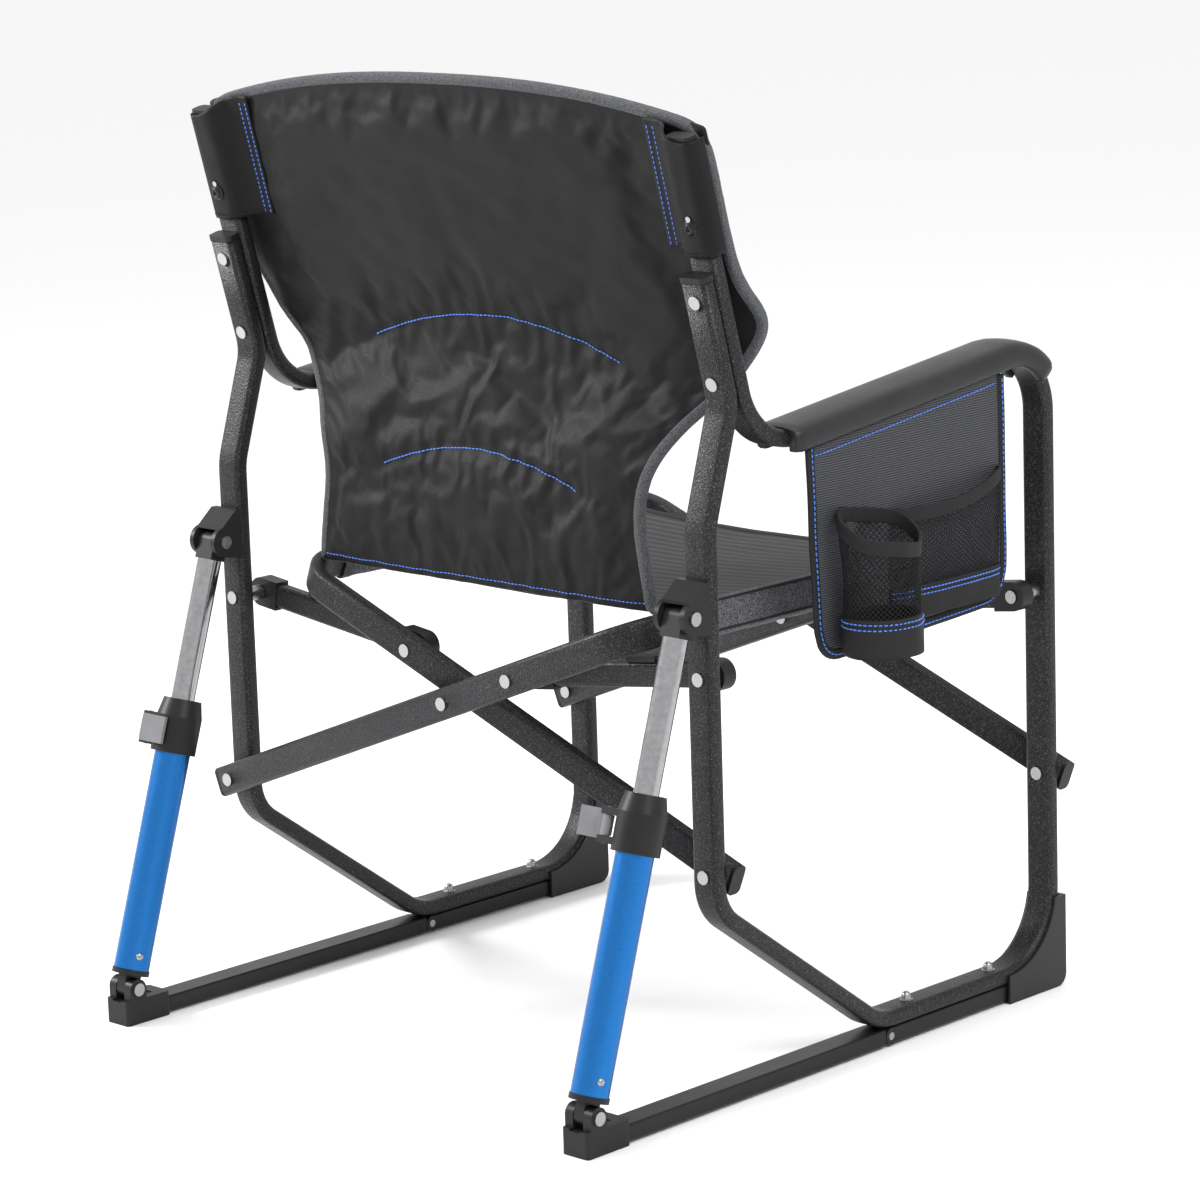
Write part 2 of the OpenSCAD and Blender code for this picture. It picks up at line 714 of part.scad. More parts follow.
// Tapered clamp collar on the top of the cylinder, with two ears for the lock lever
module strut_collar() {
    r1 = cylinder_r + 4.5;
    taper = 16;
    color("#242427") strut_place() translate([0, 0, collar_start]) difference() {
        union() {
            cylinder(r = r1, h = collar_len - taper, $fn = 72);
            translate([0, 0, collar_len - taper]) cylinder(r1 = r1, r2 = r1 - 3.5, h = taper, $fn = 72);
            for (z = [4, 28]) translate([0, lever_y - 4.5, z]) cube([lever_x + 5, 9, 6]);
        }
        translate([0, 0, -1]) cylinder(r = cylinder_r + 0.1, h = 21.1, $fn = 72);
        translate([0, 0, 5]) cylinder(r = rod_r + 0.08, h = 60, $fn = 72);
        translate([rod_r + 3, lever_y - 3.2, 10.2]) cube([40, 30, lever_h + 0.6]);
        translate([lever_x, lever_y, 0]) cylinder(r = 2.05, h = 60);
    }
}

// Coil spring under the rod, inside the cylinder
module strut_spring() {
    turns = 5;
    steps = 14;
    wire_r = 1.4;
    coil_r = 10.5;
    low = cylinder_start + 28;
    high = rod_start - 6;
    sides = 6;
    rings = [for (i = [0 : turns * steps])
        let (a = 360 * i / steps, z = low + (high - low) * i / (turns * steps))
        [for (k = [0 : sides - 1])
            let (b = 360 * k / sides, r = coil_r + wire_r * cos(b))
            [r * cos(a), r * sin(a), z + wire_r * sin(b)]]];
    points = [for (ring = rings) each ring];
    last = len(rings) - 1;
    walls = [for (i = [0 : last - 1], k = [0 : sides - 1])
        let (n = (k + 1) % sides)
        [i * sides + k, (i + 1) * sides + k, (i + 1) * sides + n, i * sides + n]];
    start_cap = [[for (k = [0 : sides - 1]) k]];
    end_cap = [[for (k = [sides - 1 : -1 : 0]) last * sides + k]];
    color("gray") strut_place() polyhedron(points = points, faces = concat(walls, start_cap, end_cap));
}

module strut_rod() {
    color("#b9bcc0") strut_place() difference() {
        translate([0, 0, rod_start]) cylinder(r = rod_r, h = rod_end - rod_start - 6, $fn = 72);
        translate([0, 0, rod_start - 1]) cylinder(r = rod_r - 2, h = rod_end - rod_start - 36, $fn = 72);
    }
    color("#b9bcc0") strut_place() translate([0, 0, rod_start - 4]) cylinder(r = cylinder_r - 1.7, h = 3.9);
}

// Black head on the rod with the eye for the bracket's pin
module rod_eye() {
    color("#19191a") strut_place() difference() {
        union() {
            translate([0, 0, strut_len]) bar_x(8.5, 22);
            translate([-11, -8.5, rod_end - 5.9]) cube([22, 17, 17.9]);
        }
        translate([0, 0, strut_len]) bar_x(strut_pin_r + 1.5, 60);
    }
}

// Cam lever; swing is its angle from closed
module lock_lever(swing) {
    color("#77777b") strut_place() translate([lever_x, lever_y, collar_start + 10.5]) rotate([0, 0, swing]) {
        difference() {
            union() {
                cylinder(r = 4.6, h = lever_h);
                translate([-9.5, 1, 0]) cube([9.5, 3.6, lever_h]);
                translate([-34, 8.9, -4]) cube([31, 3, lever_h + 8]);
                translate([-8, 3.6, 0]) cube([8, 6, lever_h]);
            }
            translate([0, 0, -1]) cylinder(r = 2.05, h = 60);
        }
        translate([0, 0, -7]) cylinder(r = 2, h = lever_h + 14);
    }
}

// ---- Feet ----
module rear_foot() {
    ear_r = 9.5;
    ear_gap = ear_w + 0.8;
    color("#202022") difference() {
        union() {
            translate([0, (foot_front_y + foot_rear_y) / 2, 0])
                rounded_box(foot_w, foot_rear_y - foot_front_y, 23, 3);
            translate([0, foot_pin_y, foot_pin_z]) bar_x(ear_r, foot_w);
            translate([-foot_w / 2, foot_pin_y - ear_r, 15]) cube([foot_w, 2 * ear_r, foot_pin_z - 15]);
        }
        translate([-ear_gap / 2, foot_pin_y - 24, 21.5]) cube([ear_gap, 60, 40]);
        translate([0, foot_front_y - 1, rail_z]) rotate([-90, 0, 0])
            linear_extrude(33) flat_section(tube_w - 1.6, tube_t + 0.4, 2);
        translate([0, foot_pin_y, foot_pin_z]) bar_x(strut_pin_r + pin_gap, 60);
    }
}

module foot_pin() {
    color("silver") translate([0, foot_pin_y, foot_pin_z]) {
        bar_x(strut_pin_r, foot_w);
        for (s = [-1, 1]) translate([s * (foot_w / 2 + 1), 0, 0]) bar_x(6, 2);
    }
}

// ---- Side pocket, on the outside of the right arm ----
pocket_x = pocket_inset - half_width - armrest_w / 2;
pocket_rear_y = 26;
pocket_front_y = -231;

module pocket_panel() {
    color("#4a4a50") side_plane() translate([0, 0, pocket_x]) linear_extrude(3) polygon([
        [pocket_rear_y, 368], [pocket_rear_y, 550], [pocket_front_y, 580], [pocket_front_y, 382]
    ]);
}

cup_y = -26;
cup_x = pocket_x - cup_r - pocket_gap;

module cup_pocket() {
    color("#26262a") translate([cup_x, cup_y, 372]) difference() {
        cylinder(r = cup_r, h = 118);
        translate([0, 0, 3]) cylinder(r = cup_r - 3, h = 130);
    }
}

module flat_pocket() {
    low_y = -226;
    high_y = -72;
    color("#26262a") translate([pocket_x - 19, low_y, 384]) difference() {
        cube([18.5, high_y - low_y, 112]);
        translate([3, 3, 3]) cube([12.5, high_y - low_y - 6, 200]);
    }
}

module on_left() {
    translate([half_width, 0, 0]) children();
}

// The right strut's collar and lever are the same hand as the left one's
module unmirrored_right() {
    translate([-half_width, 0, 0]) children();
}

// Puts the origin under the middle of the chair's overall box
module placed() {
    translate([shift_x, shift_y, 0]) children();
}

module on_right() {
    mirror([1, 0, 0]) on_left() children();
}

placed() on_left() base_rail();  // base_rail_left
placed() on_left() rear_foot();  // rear_foot_left
placed() on_left() foot_pin();  // foot_pin_left
placed() on_right() base_rail();  // base_rail_right
placed() on_right() rear_foot();  // rear_foot_right
placed() on_right() foot_pin();  // foot_pin_right
placed() on_left() side_frame();  // side_frame_left
placed() on_left() front_rail();  // front_rail_left
placed() on_left() front_shoe();  // front_shoe_left
placed() on_left() tube_plugs();  // tube_plugs_left
placed() on_left() armrest();  // armrest_left
placed() on_left() strut_bracket();  // strut_bracket_left
placed() on_left() frame_pins();  // frame_pins_left
placed() on_left() frame_fasteners(false);  // frame_fasteners_left
placed() on_left() back_sleeve();  // back_sleeve_left
placed() on_right() side_frame();  // side_frame_right
placed() on_right() front_rail();  // front_rail_right
placed() on_right() front_shoe();  // front_shoe_right
placed() on_right() tube_plugs();  // tube_plugs_right
placed() on_right() armrest();  // armrest_right
placed() on_right() strut_bracket();  // strut_bracket_right
placed() on_right() frame_pins();  // frame_pins_right
placed() on_right() frame_fasteners(true);  // frame_fasteners_right
placed() on_right() back_sleeve();  // back_sleeve_right
placed() seat_frame(true);  // seat_frame_a
placed() seat_frame(false);  // seat_frame_b
placed() seat_plugs(true);  // seat_plugs_a
placed() seat_plugs(false);  // seat_plugs_b
placed() seat_rivets_a();
placed() seat_rivets_b();
placed() rail_sleeve(true);  // rail_sleeve_a
placed() rail_sleeve(false);  // rail_sleeve_b
placed() seat_sheet();
placed() back_panel();
placed() stay(1, rear_leg_y, false);  // stay_rear_left
placed() stay(-1, rear_leg_y, true);  // stay_rear_right
placed() stay(1, front_leg_y, false);  // stay_front_left
placed() stay(-1, front_leg_y, true);  // stay_front_right
placed() stay_ends(1, rear_leg_y, false);  // stay_ends_rear_left
placed() stay_ends(-1, rear_leg_y, true);  // stay_ends_rear_right
placed() stay_ends(1, front_leg_y, false);  // stay_ends_front_left
placed() stay_ends(-1, front_leg_y, true);  // stay_ends_front_right
placed() on_left() strut_cylinder();  // strut_cylinder_left
placed() on_left() strut_collar();  // strut_collar_left
placed() on_left() strut_fitting();  // strut_fitting_left
placed() on_left() strut_spring();  // strut_spring_left
placed() on_right() strut_cylinder();  // strut_cylinder_right
placed() unmirrored_right() strut_collar();  // strut_collar_right
placed() on_right() strut_fitting();  // strut_fitting_right
placed() on_right() strut_spring();  // strut_spring_right
placed() on_left() strut_rod();  // strut_rod_left
placed() on_right() strut_rod();  // strut_rod_right
placed() on_left() rod_eye();  // rod_eye_left
placed() on_right() rod_eye();  // rod_eye_right
placed() on_left() lock_lever(0);  // lock_lever_left
placed() unmirrored_right() lock_lever(-170);  // lock_lever_right
placed() pocket_panel();
placed() cup_pocket();
placed() flat_pocket();
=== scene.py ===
import math
import random
import bmesh
import bpy
from mathutils import Matrix, Vector, noise
from mathutils.bvhtree import BVHTree


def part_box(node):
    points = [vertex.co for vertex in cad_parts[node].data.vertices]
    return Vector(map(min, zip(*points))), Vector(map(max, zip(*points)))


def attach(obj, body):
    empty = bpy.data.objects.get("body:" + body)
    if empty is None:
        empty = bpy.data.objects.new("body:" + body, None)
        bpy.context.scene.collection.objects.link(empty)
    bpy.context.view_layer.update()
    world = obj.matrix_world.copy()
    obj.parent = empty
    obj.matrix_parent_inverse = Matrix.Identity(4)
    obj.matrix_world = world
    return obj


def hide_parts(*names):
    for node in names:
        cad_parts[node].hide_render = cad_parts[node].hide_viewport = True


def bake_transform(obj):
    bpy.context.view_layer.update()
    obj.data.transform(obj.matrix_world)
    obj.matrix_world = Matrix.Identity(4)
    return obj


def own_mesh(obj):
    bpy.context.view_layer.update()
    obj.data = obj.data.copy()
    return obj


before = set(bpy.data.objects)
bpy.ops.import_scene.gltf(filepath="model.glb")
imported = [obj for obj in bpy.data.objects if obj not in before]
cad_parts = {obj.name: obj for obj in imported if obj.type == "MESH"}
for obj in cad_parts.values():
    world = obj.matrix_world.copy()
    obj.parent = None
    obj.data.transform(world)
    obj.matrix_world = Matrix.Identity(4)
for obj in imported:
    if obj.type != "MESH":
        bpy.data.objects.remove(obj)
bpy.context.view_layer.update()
random.seed(7)

# ---------------------------------------------------------------- places, in millimetres
REAR_Y = 315
SIDE_X = 294
FRONT_Y = -308
LEG_Y = 143
RUN_END_Y = -62
SLOPE_TOP_Z = 172
ARM_FRONT_Z = 604
ARM_REAR_Z = 556
UPRIGHT_TOP_Z = 822
KINK_Z = 600
LEG_TOP = 106
SIDE_BENDS = (0, 62, 58, 72, 60, 45, 60, 46, 0)
lo_l, hi_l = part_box("side_frame_left")
lo_r, hi_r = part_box("side_frame_right")
SX = (lo_l.x + hi_l.x + lo_r.x + hi_r.x) / 4
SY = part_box("rear_foot_left")[1].y - REAR_Y / 1000


def P(x, y, z):
    """A point given in millimetres in the part's own design axes."""
    return Vector((x / 1000 + SX, y / 1000 + SY, z / 1000))


LEAN = math.radians(14.5)
TW, TT, TR = 28.0, 15.0, 5.0  # the tube's width, thickness and corner
RUN_Z = 24.5
ARM_SLOPE = math.radians(21)
ARM_LEN = 294 / math.cos(ARM_SLOPE)
CROSS_Z = 202 + ARM_LEN * math.sin(ARM_SLOPE)
RAIL_REACH = 245.0


def upright_y(z):
    return 118.5 + (z - 690) * math.tan(LEAN)


# ---------------------------------------------------------------- mesh helpers
def mesh_obj(name, verts, faces, mat=None, smooth=True):
    me = bpy.data.meshes.new(name)
    me.from_pydata([tuple(v) for v in verts], [], faces)
    me.validate()
    me.update()
    ob = bpy.data.objects.new(name, me)
    bpy.context.scene.collection.objects.link(ob)
    bm = bmesh.new()
    bm.from_mesh(me)
    bmesh.ops.recalc_face_normals(bm, faces=bm.faces)
    bm.to_mesh(me)
    bm.free()
    for p in me.polygons:
        p.use_smooth = smooth
    if mat:
        me.materials.append(mat)
    return ob


def join(name, obs):
    """One mesh from several, with the materials kept."""
    mats, verts, faces, mi, sm = [], [], [], [], []
    for o in obs:
        off = len(verts)
        verts += [o.matrix_world @ v.co for v in o.data.vertices]
        lut = {}
        for i, m in enumerate(o.data.materials):
            if m not in mats:
                mats.append(m)
            lut[i] = mats.index(m)
        for p in o.data.polygons:
            faces.append([off + k for k in p.vertices])
            mi.append(lut.get(p.material_index, 0))
            sm.append(p.use_smooth)
    me = bpy.data.meshes.new(name)
    me.from_pydata([tuple(v) for v in verts], [], faces)
    for m in mats:
        me.materials.append(m)
    for p, i, s in zip(me.polygons, mi, sm):
        p.material_index = i
        p.use_smooth = s
    ob = bpy.data.objects.new(name, me)
    bpy.context.scene.collection.objects.link(ob)
    for o in obs:
        bpy.data.objects.remove(o, do_unlink=True)
    return ob


def grid(name, fn, nu, nv, mat=None, wrap=False):
    """Surface from fn(u, v), with u and v from 0 to 1."""
    verts = [fn(i / (nu if wrap else nu - 1), j / (nv - 1)) for j in range(nv) for i in range(nu)]
    faces = []
    for j in range(nv - 1):
        for i in range(nu if wrap else nu - 1):
            k = (i + 1) % nu
            faces.append([j * nu + i, j * nu + k, (j + 1) * nu + k, (j + 1) * nu + i])
    return mesh_obj(name, verts, faces, mat)


def frames_along(pts, up):
    """Side and up at each point of a polyline; up is a vector, or a function of the point's number."""
    n = len(pts)
    out = []
    for i in range(n):
        t = (pts[min(i + 1, n - 1)] - pts[max(i - 1, 0)]).normalized()
        s = t.cross(up(i) if callable(up) else up).normalized()
        out.append((s, s.cross(t).normalized()))
    return out


def sweep(name, pts, ring, mat, up, caps=True, scale=None):
    """Sweeps ring, a list of (side, up) in metres, along pts."""
    fr = frames_along(pts, up)
    m = len(ring)
    verts, faces = [], []
    for i, p in enumerate(pts):
        k = scale(i / (len(pts) - 1)) if scale else 1.0
        for a, b in ring:
            verts.append(p + fr[i][0] * a * k + fr[i][1] * b * k)
    for i in range(len(pts) - 1):
        for j in range(m):
            n = (j + 1) % m
            faces.append([i * m + j, i * m + n, (i + 1) * m + n, (i + 1) * m + j])
    if caps:
        faces.append(list(range(m)))
        faces.append([(len(pts) - 1) * m + j for j in range(m)])
    return mesh_obj(name, verts, faces, mat)


def round_rect(w, t, r, n=5):
    """Ring of a rounded rectangle w by t, in metres."""
    out = []
    x, y = w / 2 - r, t / 2 - r
    for cx, cy, a0 in ((x, y, 0), (-x, y, 90), (-x, -y, 180), (x, -y, 270)):
        for k in range(n + 1):
            a = math.radians(a0 + 90 * k / n)
            out.append((cx + r * math.cos(a), cy + r * math.sin(a)))
    return out


def circle_ring(r, n=10):
    return [(r * math.cos(2 * math.pi * k / n), r * math.sin(2 * math.pi * k / n)) for k in range(n)]


def smooth_path(pts, per):
    """Catmull-Rom curve through pts, with per points for each span."""
    out = []
    n = len(pts)
    for i in range(n - 1):
        p0 = pts[i - 1] if i > 0 else pts[0] * 2 - pts[1]
        p1 = pts[i]
        p2 = pts[i + 1]
        p3 = pts[i + 2] if i + 2 < n else pts[-1] * 2 - pts[-2]
        for k in range(per):
            t = k / per
            square = (2 * p0 - 5 * p1 + 4 * p2 - p3) * t * t
            cube = (3 * p1 - p0 - 3 * p2 + p3) * t ** 3
            out.append(0.5 * ((2 * p1) + (p2 - p0) * t + square + cube))
    out.append(pts[-1])
    return out


def resample(pts, step):
    """Points every step metres along a polyline."""
    out = [pts[0].copy()]
    carry = 0.0
    for a, b in zip(pts[:-1], pts[1:]):
        d = (b - a).length
        if d < 1e-9:
            continue
        s = step - carry
        while s <= d:
            out.append(a.lerp(b, s / d))
            s += step
        carry = (carry + d) % step
    return out


def thread(name, pts, mat, normal, length=0.0032, gap=0.0012, r=0.00045, proud=0.0003):
    """A row of stitches lying on a surface along pts; normal is a vector, or a function of the point."""
    line = resample(pts, length + gap)
    verts, faces = [], []
    ring = circle_ring(1.0, 6)
    for a, b in zip(line[:-1], line[1:]):
        n = (normal(a) if callable(normal) else normal).normalized()
        t = (b - a).normalized()
        s = t.cross(n).normalized()
        long = length * (0.94 + 0.12 * random.random())
        stations = ((0.0, 0.15), (0.12, 0.85), (0.5, 1.0), (0.88, 0.85), (1.0, 0.15))
        off = len(verts)
        for f, k in stations:
            lift = proud + r * (1 if 0 < f < 1 else -0.4)
            c = a + t * (long * f) + n * lift
            for x, y in ring:
                verts.append(c + s * x * r * k * 1.15 + n * y * r * k)
        for i in range(len(stations) - 1):
            low, high = off + i * 6, off + i * 6 + 6
            for j in range(6):
                q = (j + 1) % 6
                faces.append([low + j, low + q, high + q, high + j])
    return mesh_obj(name, verts, faces, mat)


def subsurf(ob, levels=1):
    m = ob.modifiers.new("subd", "SUBSURF")
    m.levels = levels
    m.render_levels = levels
    return ob


def apply_mods(ob):
    bpy.context.view_layer.update()
    dg = bpy.context.evaluated_depsgraph_get()
    me = bpy.data.meshes.new_from_object(ob.evaluated_get(dg))
    ob.modifiers.clear()
    ob.data = me
    return ob


# ---------------------------------------------------------------- materials
def new_mat(name, color=(0.1, 0.1, 0.1), rough=0.5, metal=0.0):
    m = bpy.data.materials.new(name)
    m.use_nodes = True
    nt = m.node_tree
    b = nt.nodes["Principled BSDF"]
    b.inputs["Base Color"].default_value = (*color, 1)
    b.inputs["Roughness"].default_value = rough
    b.inputs["Metallic"].default_value = metal
    return m, nt, b


def node(nt, kind, **vals):
    n = nt.nodes.new(kind)
    for k, v in vals.items():
        n.inputs[k].default_value = v
    return n


def coords(nt, scale=(1, 1, 1)):
    tc = nt.nodes.new("ShaderNodeTexCoord")
    mp = nt.nodes.new("ShaderNodeMapping")
    mp.inputs["Scale"].default_value = scale
    nt.links.new(tc.outputs["Object"], mp.inputs["Vector"])
    return mp.outputs["Vector"]


def ramp(nt, fac, stops):
    r = nt.nodes.new("ShaderNodeValToRGB")
    els = r.color_ramp.elements
    while len(els) < len(stops):
        els.new(0.5)
    for e, (p, c) in zip(els, stops):
        e.position = p
        e.color = (*c, 1)
    nt.links.new(fac, r.inputs["Fac"])
    return r.outputs["Color"]


def grey(value):
    return (value,) * 3


def math_node(nt, op, a, b):
    n = nt.nodes.new("ShaderNodeMath")
    n.operation = op
    for i, v in enumerate((a, b)):
        if isinstance(v, (int, float)):
            n.inputs[i].default_value = v
        else:
            nt.links.new(v, n.inputs[i])
    return n.outputs[0]


def mix(nt, fac, a, b, blend="MIX"):
    n = nt.nodes.new("ShaderNodeMix")
    n.data_type = "RGBA"
    n.blend_type = blend
    n.inputs[0].default_value = fac
    nt.links.new(a, n.inputs[6])
    nt.links.new(b, n.inputs[7])
    return n.outputs[2]


def bump(nt, b, height, strength=0.3, distance=0.001):
    n = nt.nodes.new("ShaderNodeBump")
    n.inputs["Strength"].default_value = strength
    n.inputs["Distance"].default_value = distance
    nt.links.new(height, n.inputs["Height"])
    nt.links.new(n.outputs["Normal"], b.inputs["Normal"])


def tex_noise(nt, vec, scale, detail=3.0, rough=0.5):
    n = node(nt, "ShaderNodeTexNoise", Scale=scale, Detail=detail, Roughness=rough)
    nt.links.new(vec, n.inputs["Vector"])
    return n.outputs["Fac"]


def tex_voronoi(nt, vec, scale):
    n = node(nt, "ShaderNodeTexVoronoi", Scale=scale)
    nt.links.new(vec, n.inputs["Vector"])
    return n.outputs["Distance"]


def tex_wave(nt, vec, scale, direction, distortion, detail=1.0):
    n = node(nt, "ShaderNodeTexWave", Scale=scale, Distortion=distortion, Detail=detail)
    n.bands_direction = direction
    nt.links.new(vec, n.inputs["Vector"])
    return n.outputs["Fac"]


def hammered(name, dark, light, speck):
    """Hammered powder coat: dark ground, a fine light fleck and a dimpled skin."""
    m, nt, b = new_mat(name, dark, 0.36, 0.55)
    v = coords(nt)
    fleck = tex_noise(nt, v, 800, 2.0, 0.6)
    cloud = tex_noise(nt, v, 9, 3.0)
    cell = tex_voronoi(nt, v, 620)
    ground = ramp(nt, fleck, [(0.40, dark), (0.60, light), (0.74, speck)])
    worn = ramp(nt, cloud, [(0.35, grey(0.88)), (0.7, grey(1.1))])
    nt.links.new(mix(nt, 1.0, ground, worn, "MULTIPLY"), b.inputs["Base Color"])
    nt.links.new(ramp(nt, cell, [(0.0, grey(0.30)), (0.6, grey(0.46))]), b.inputs["Roughness"])
    b.inputs["Specular IOR Level"].default_value = 0.3
    bump(nt, b, math_node(nt, "ADD", cell, math_node(nt, "MULTIPLY", fleck, 0.5)), 0.35, 0.0006)
    return m


def plastic(name, color, rough=0.45, grain=520, strength=0.12):
    m, nt, b = new_mat(name, color, rough)
    v = coords(nt)
    n1 = tex_noise(nt, v, grain, 2.0)
    n2 = tex_noise(nt, v, 14, 3.0)
    c = Vector(color)
    nt.links.new(ramp(nt, n2, [(0.3, tuple(c * 0.85)), (0.7, tuple(c * 1.2))]), b.inputs["Base Color"])
    shine = ramp(nt, n2, [(0.3, grey(rough * 0.9)), (0.7, grey(min(1, rough * 1.15)))])
    nt.links.new(shine, b.inputs["Roughness"])
    b.inputs["Specular IOR Level"].default_value = 0.24
    bump(nt, b, n1, strength, 0.0003)
    return m


def metal(name, color, rough, grain=(60, 60, 900), strength=0.05):
    m, nt, b = new_mat(name, color, rough, 1.0)
    v = coords(nt, grain)
    n1 = tex_noise(nt, v, 3.0, 3.0)
    c = Vector(color)
    nt.links.new(ramp(nt, n1, [(0.3, tuple(c * 0.86)), (0.7, tuple(c * 1.06))]), b.inputs["Base Color"])
    shine = ramp(nt, n1, [(0.3, grey(rough * 0.8)), (0.7, grey(min(1, rough * 1.3)))])
    nt.links.new(shine, b.inputs["Roughness"])
    bump(nt, b, n1, strength, 0.0003)
    return m


def weave(nt, vec, scale):
    """Two crossed waves as a plain weave's height."""
    return math_node(nt, "MAXIMUM", tex_wave(nt, vec, scale, "X", 0.6), tex_wave(nt, vec, scale, "Z", 0.6))


def cloth_black():
    m, nt, b = new_mat("black_polyester", (0.004, 0.0038, 0.004), 0.62)
    v = coords(nt)
    w = weave(nt, v, 330)
    big = tex_noise(nt, v, 7, 4.0)
    fine = tex_noise(nt, v, 700, 2.0)
    base = ramp(nt, big, [(0.3, (0.0030, 0.0028, 0.0031)), (0.7, (0.0062, 0.0059, 0.0063))])
    yarn = ramp(nt, w, [(0.2, grey(0.0015)), (0.9, (0.010, 0.0097, 0.0102))])
    nt.links.new(mix(nt, 0.35, base, yarn), b.inputs["Base Color"])
    nt.links.new(ramp(nt, fine, [(0.3, grey(0.44)), (0.7, grey(0.60))]), b.inputs["Roughness"])
    b.inputs["Sheen Weight"].default_value = 0.03
    b.inputs["Sheen Roughness"].default_value = 0.4
    b.inputs["Specular IOR Level"].default_value = 0.15
    bump(nt, b, math_node(nt, "ADD", w, math_node(nt, "MULTIPLY", fine, 0.4)), 0.22, 0.0004)
    return m


def melange(name, dark, light, scale=900):
    """Knitted tape with light flecks."""
    m, nt, b = new_mat(name, dark, 0.85)
    v = coords(nt)
    fleck = tex_noise(nt, v, scale, 2.0, 0.7)
    rib = tex_wave(nt, v, 420.0, "DIAGONAL", 1.5, 2.0)
    middle = tuple((Vector(dark) + Vector(light)) / 2)
    nt.links.new(ramp(nt, fleck, [(0.36, dark), (0.52, middle), (0.68, light)]), b.inputs["Base Color"])
    b.inputs["Sheen Weight"].default_value = 0.08
    b.inputs["Specular IOR Level"].default_value = 0.2
    bump(nt, b, math_node(nt, "ADD", rib, fleck), 0.5, 0.0006)
    return m


def part_of(nt, wave, share):
    """A wave scaled to run from 1 - share to 1."""
    return math_node(nt, "ADD", math_node(nt, "MULTIPLY", wave, share), 1 - share)


def ribbed(name, dark, light, scale, axis="Y", bands=0):
    """Ribbed mesh: raised cords painted light as a highlight, gaps painted dark as shade, and a cross thread.
    """
    m, nt, b = new_mat(name, dark, 0.72)
    v = coords(nt)
    cord = tex_wave(nt, v, scale, axis, 0.3)
    cross = tex_wave(nt, v, scale * 2.4, "X" if axis == "Y" else "Y", 0.5)
    both = math_node(nt, "MULTIPLY", cord, part_of(nt, cross, 0.6))
    fleck = tex_noise(nt, v, 800, 2.0, 0.7)
    rib_shade_and_fleck = math_node(nt, "ADD", math_node(nt, "MULTIPLY", both, 0.75), math_node(nt, "MULTIPLY", fleck, 0.35))
    if bands:
        # The bands darken the colour in their troughs: painted shade.
        band = tex_wave(nt, v, bands, axis, 0.2)
        rib_shade_and_fleck = math_node(nt, "MULTIPLY", rib_shade_and_fleck, part_of(nt, band, 0.65))
        both = math_node(nt, "ADD", both, band)
    # The cords' lighter colour is a painted highlight and the dark gaps are painted shade; the fleck is the
    # yarn's own.
    nt.links.new(ramp(nt, rib_shade_and_fleck, [(0.2, dark), (0.75, light)]), b.inputs["Base Color"])
    b.inputs["Sheen Weight"].default_value = 0.03
    b.inputs["Specular IOR Level"].default_value = 0.3
    bump(nt, b, both, 0.6, 0.0008)
    return m


def blue_thread():
    m, nt, b = new_mat("blue_thread", (0.03, 0.14, 0.62), 0.6)
    v = coords(nt)
    n = tex_noise(nt, v, 1200, 2.0)
    nt.links.new(ramp(nt, n, [(0.3, (0.02, 0.10, 0.48)), (0.7, (0.05, 0.22, 0.85))]), b.inputs["Base Color"])
    b.inputs["Sheen Weight"].default_value = 0.3
    bump(nt, b, n, 0.4, 0.0003)
    return m


M_TUBE = hammered("hammered_charcoal", (0.012, 0.012, 0.013), (0.032, 0.032, 0.034), (0.12, 0.12, 0.125))
M_RAIL = plastic("satin_black_rail", (0.008, 0.008, 0.0085), 0.34, 300, 0.06)
M_BLACK = plastic("black_moulded", (0.010, 0.010, 0.0105), 0.42)
M_GREY = plastic("dark_grey_moulded", (0.018, 0.018, 0.0195), 0.40, 430, 0.15)
M_LEVER = plastic("grey_lever", (0.16, 0.16, 0.17), 0.4)
M_ZINC = metal("zinc_plate", (0.36, 0.37, 0.36), 0.28, (300, 300, 300), 0.1)
M_CHROME = metal("polished_rod", (0.36, 0.36, 0.37), 0.14, (60, 60, 60), 0.0)
M_SPRING = metal("spring_steel", (0.3, 0.3, 0.31), 0.35)
M_BLUE = metal("blue_anodised", (0.022, 0.16, 0.46), 0.33, (80, 80, 1400), 0.05)
M_CLOTH = cloth_black()
M_BIND = melange("grey_binding", (0.028, 0.029, 0.033), (0.125, 0.13, 0.14))
# The light colour given to ribbed() for the seat and the pocket is a painted highlight on the cords.
M_SEAT = ribbed("seat_mesh", (0.010, 0.0095, 0.0098), (0.085, 0.079, 0.078), 92, "Y", 21)
M_SLEEVE = melange("speckled_sleeve", (0.016, 0.0165, 0.019), (0.17, 0.172, 0.19), 620)
M_POCKET = ribbed("pocket_weave", (0.010, 0.0105, 0.0125), (0.085, 0.088, 0.102), 150, "Z")
M_THREAD = blue_thread()
M_NET = plastic("black_net", (0.012, 0.012, 0.013), 0.8, 900, 0.4)
M_TRIM = plastic("black_tape", (0.012, 0.012, 0.013), 0.75, 900, 0.5)

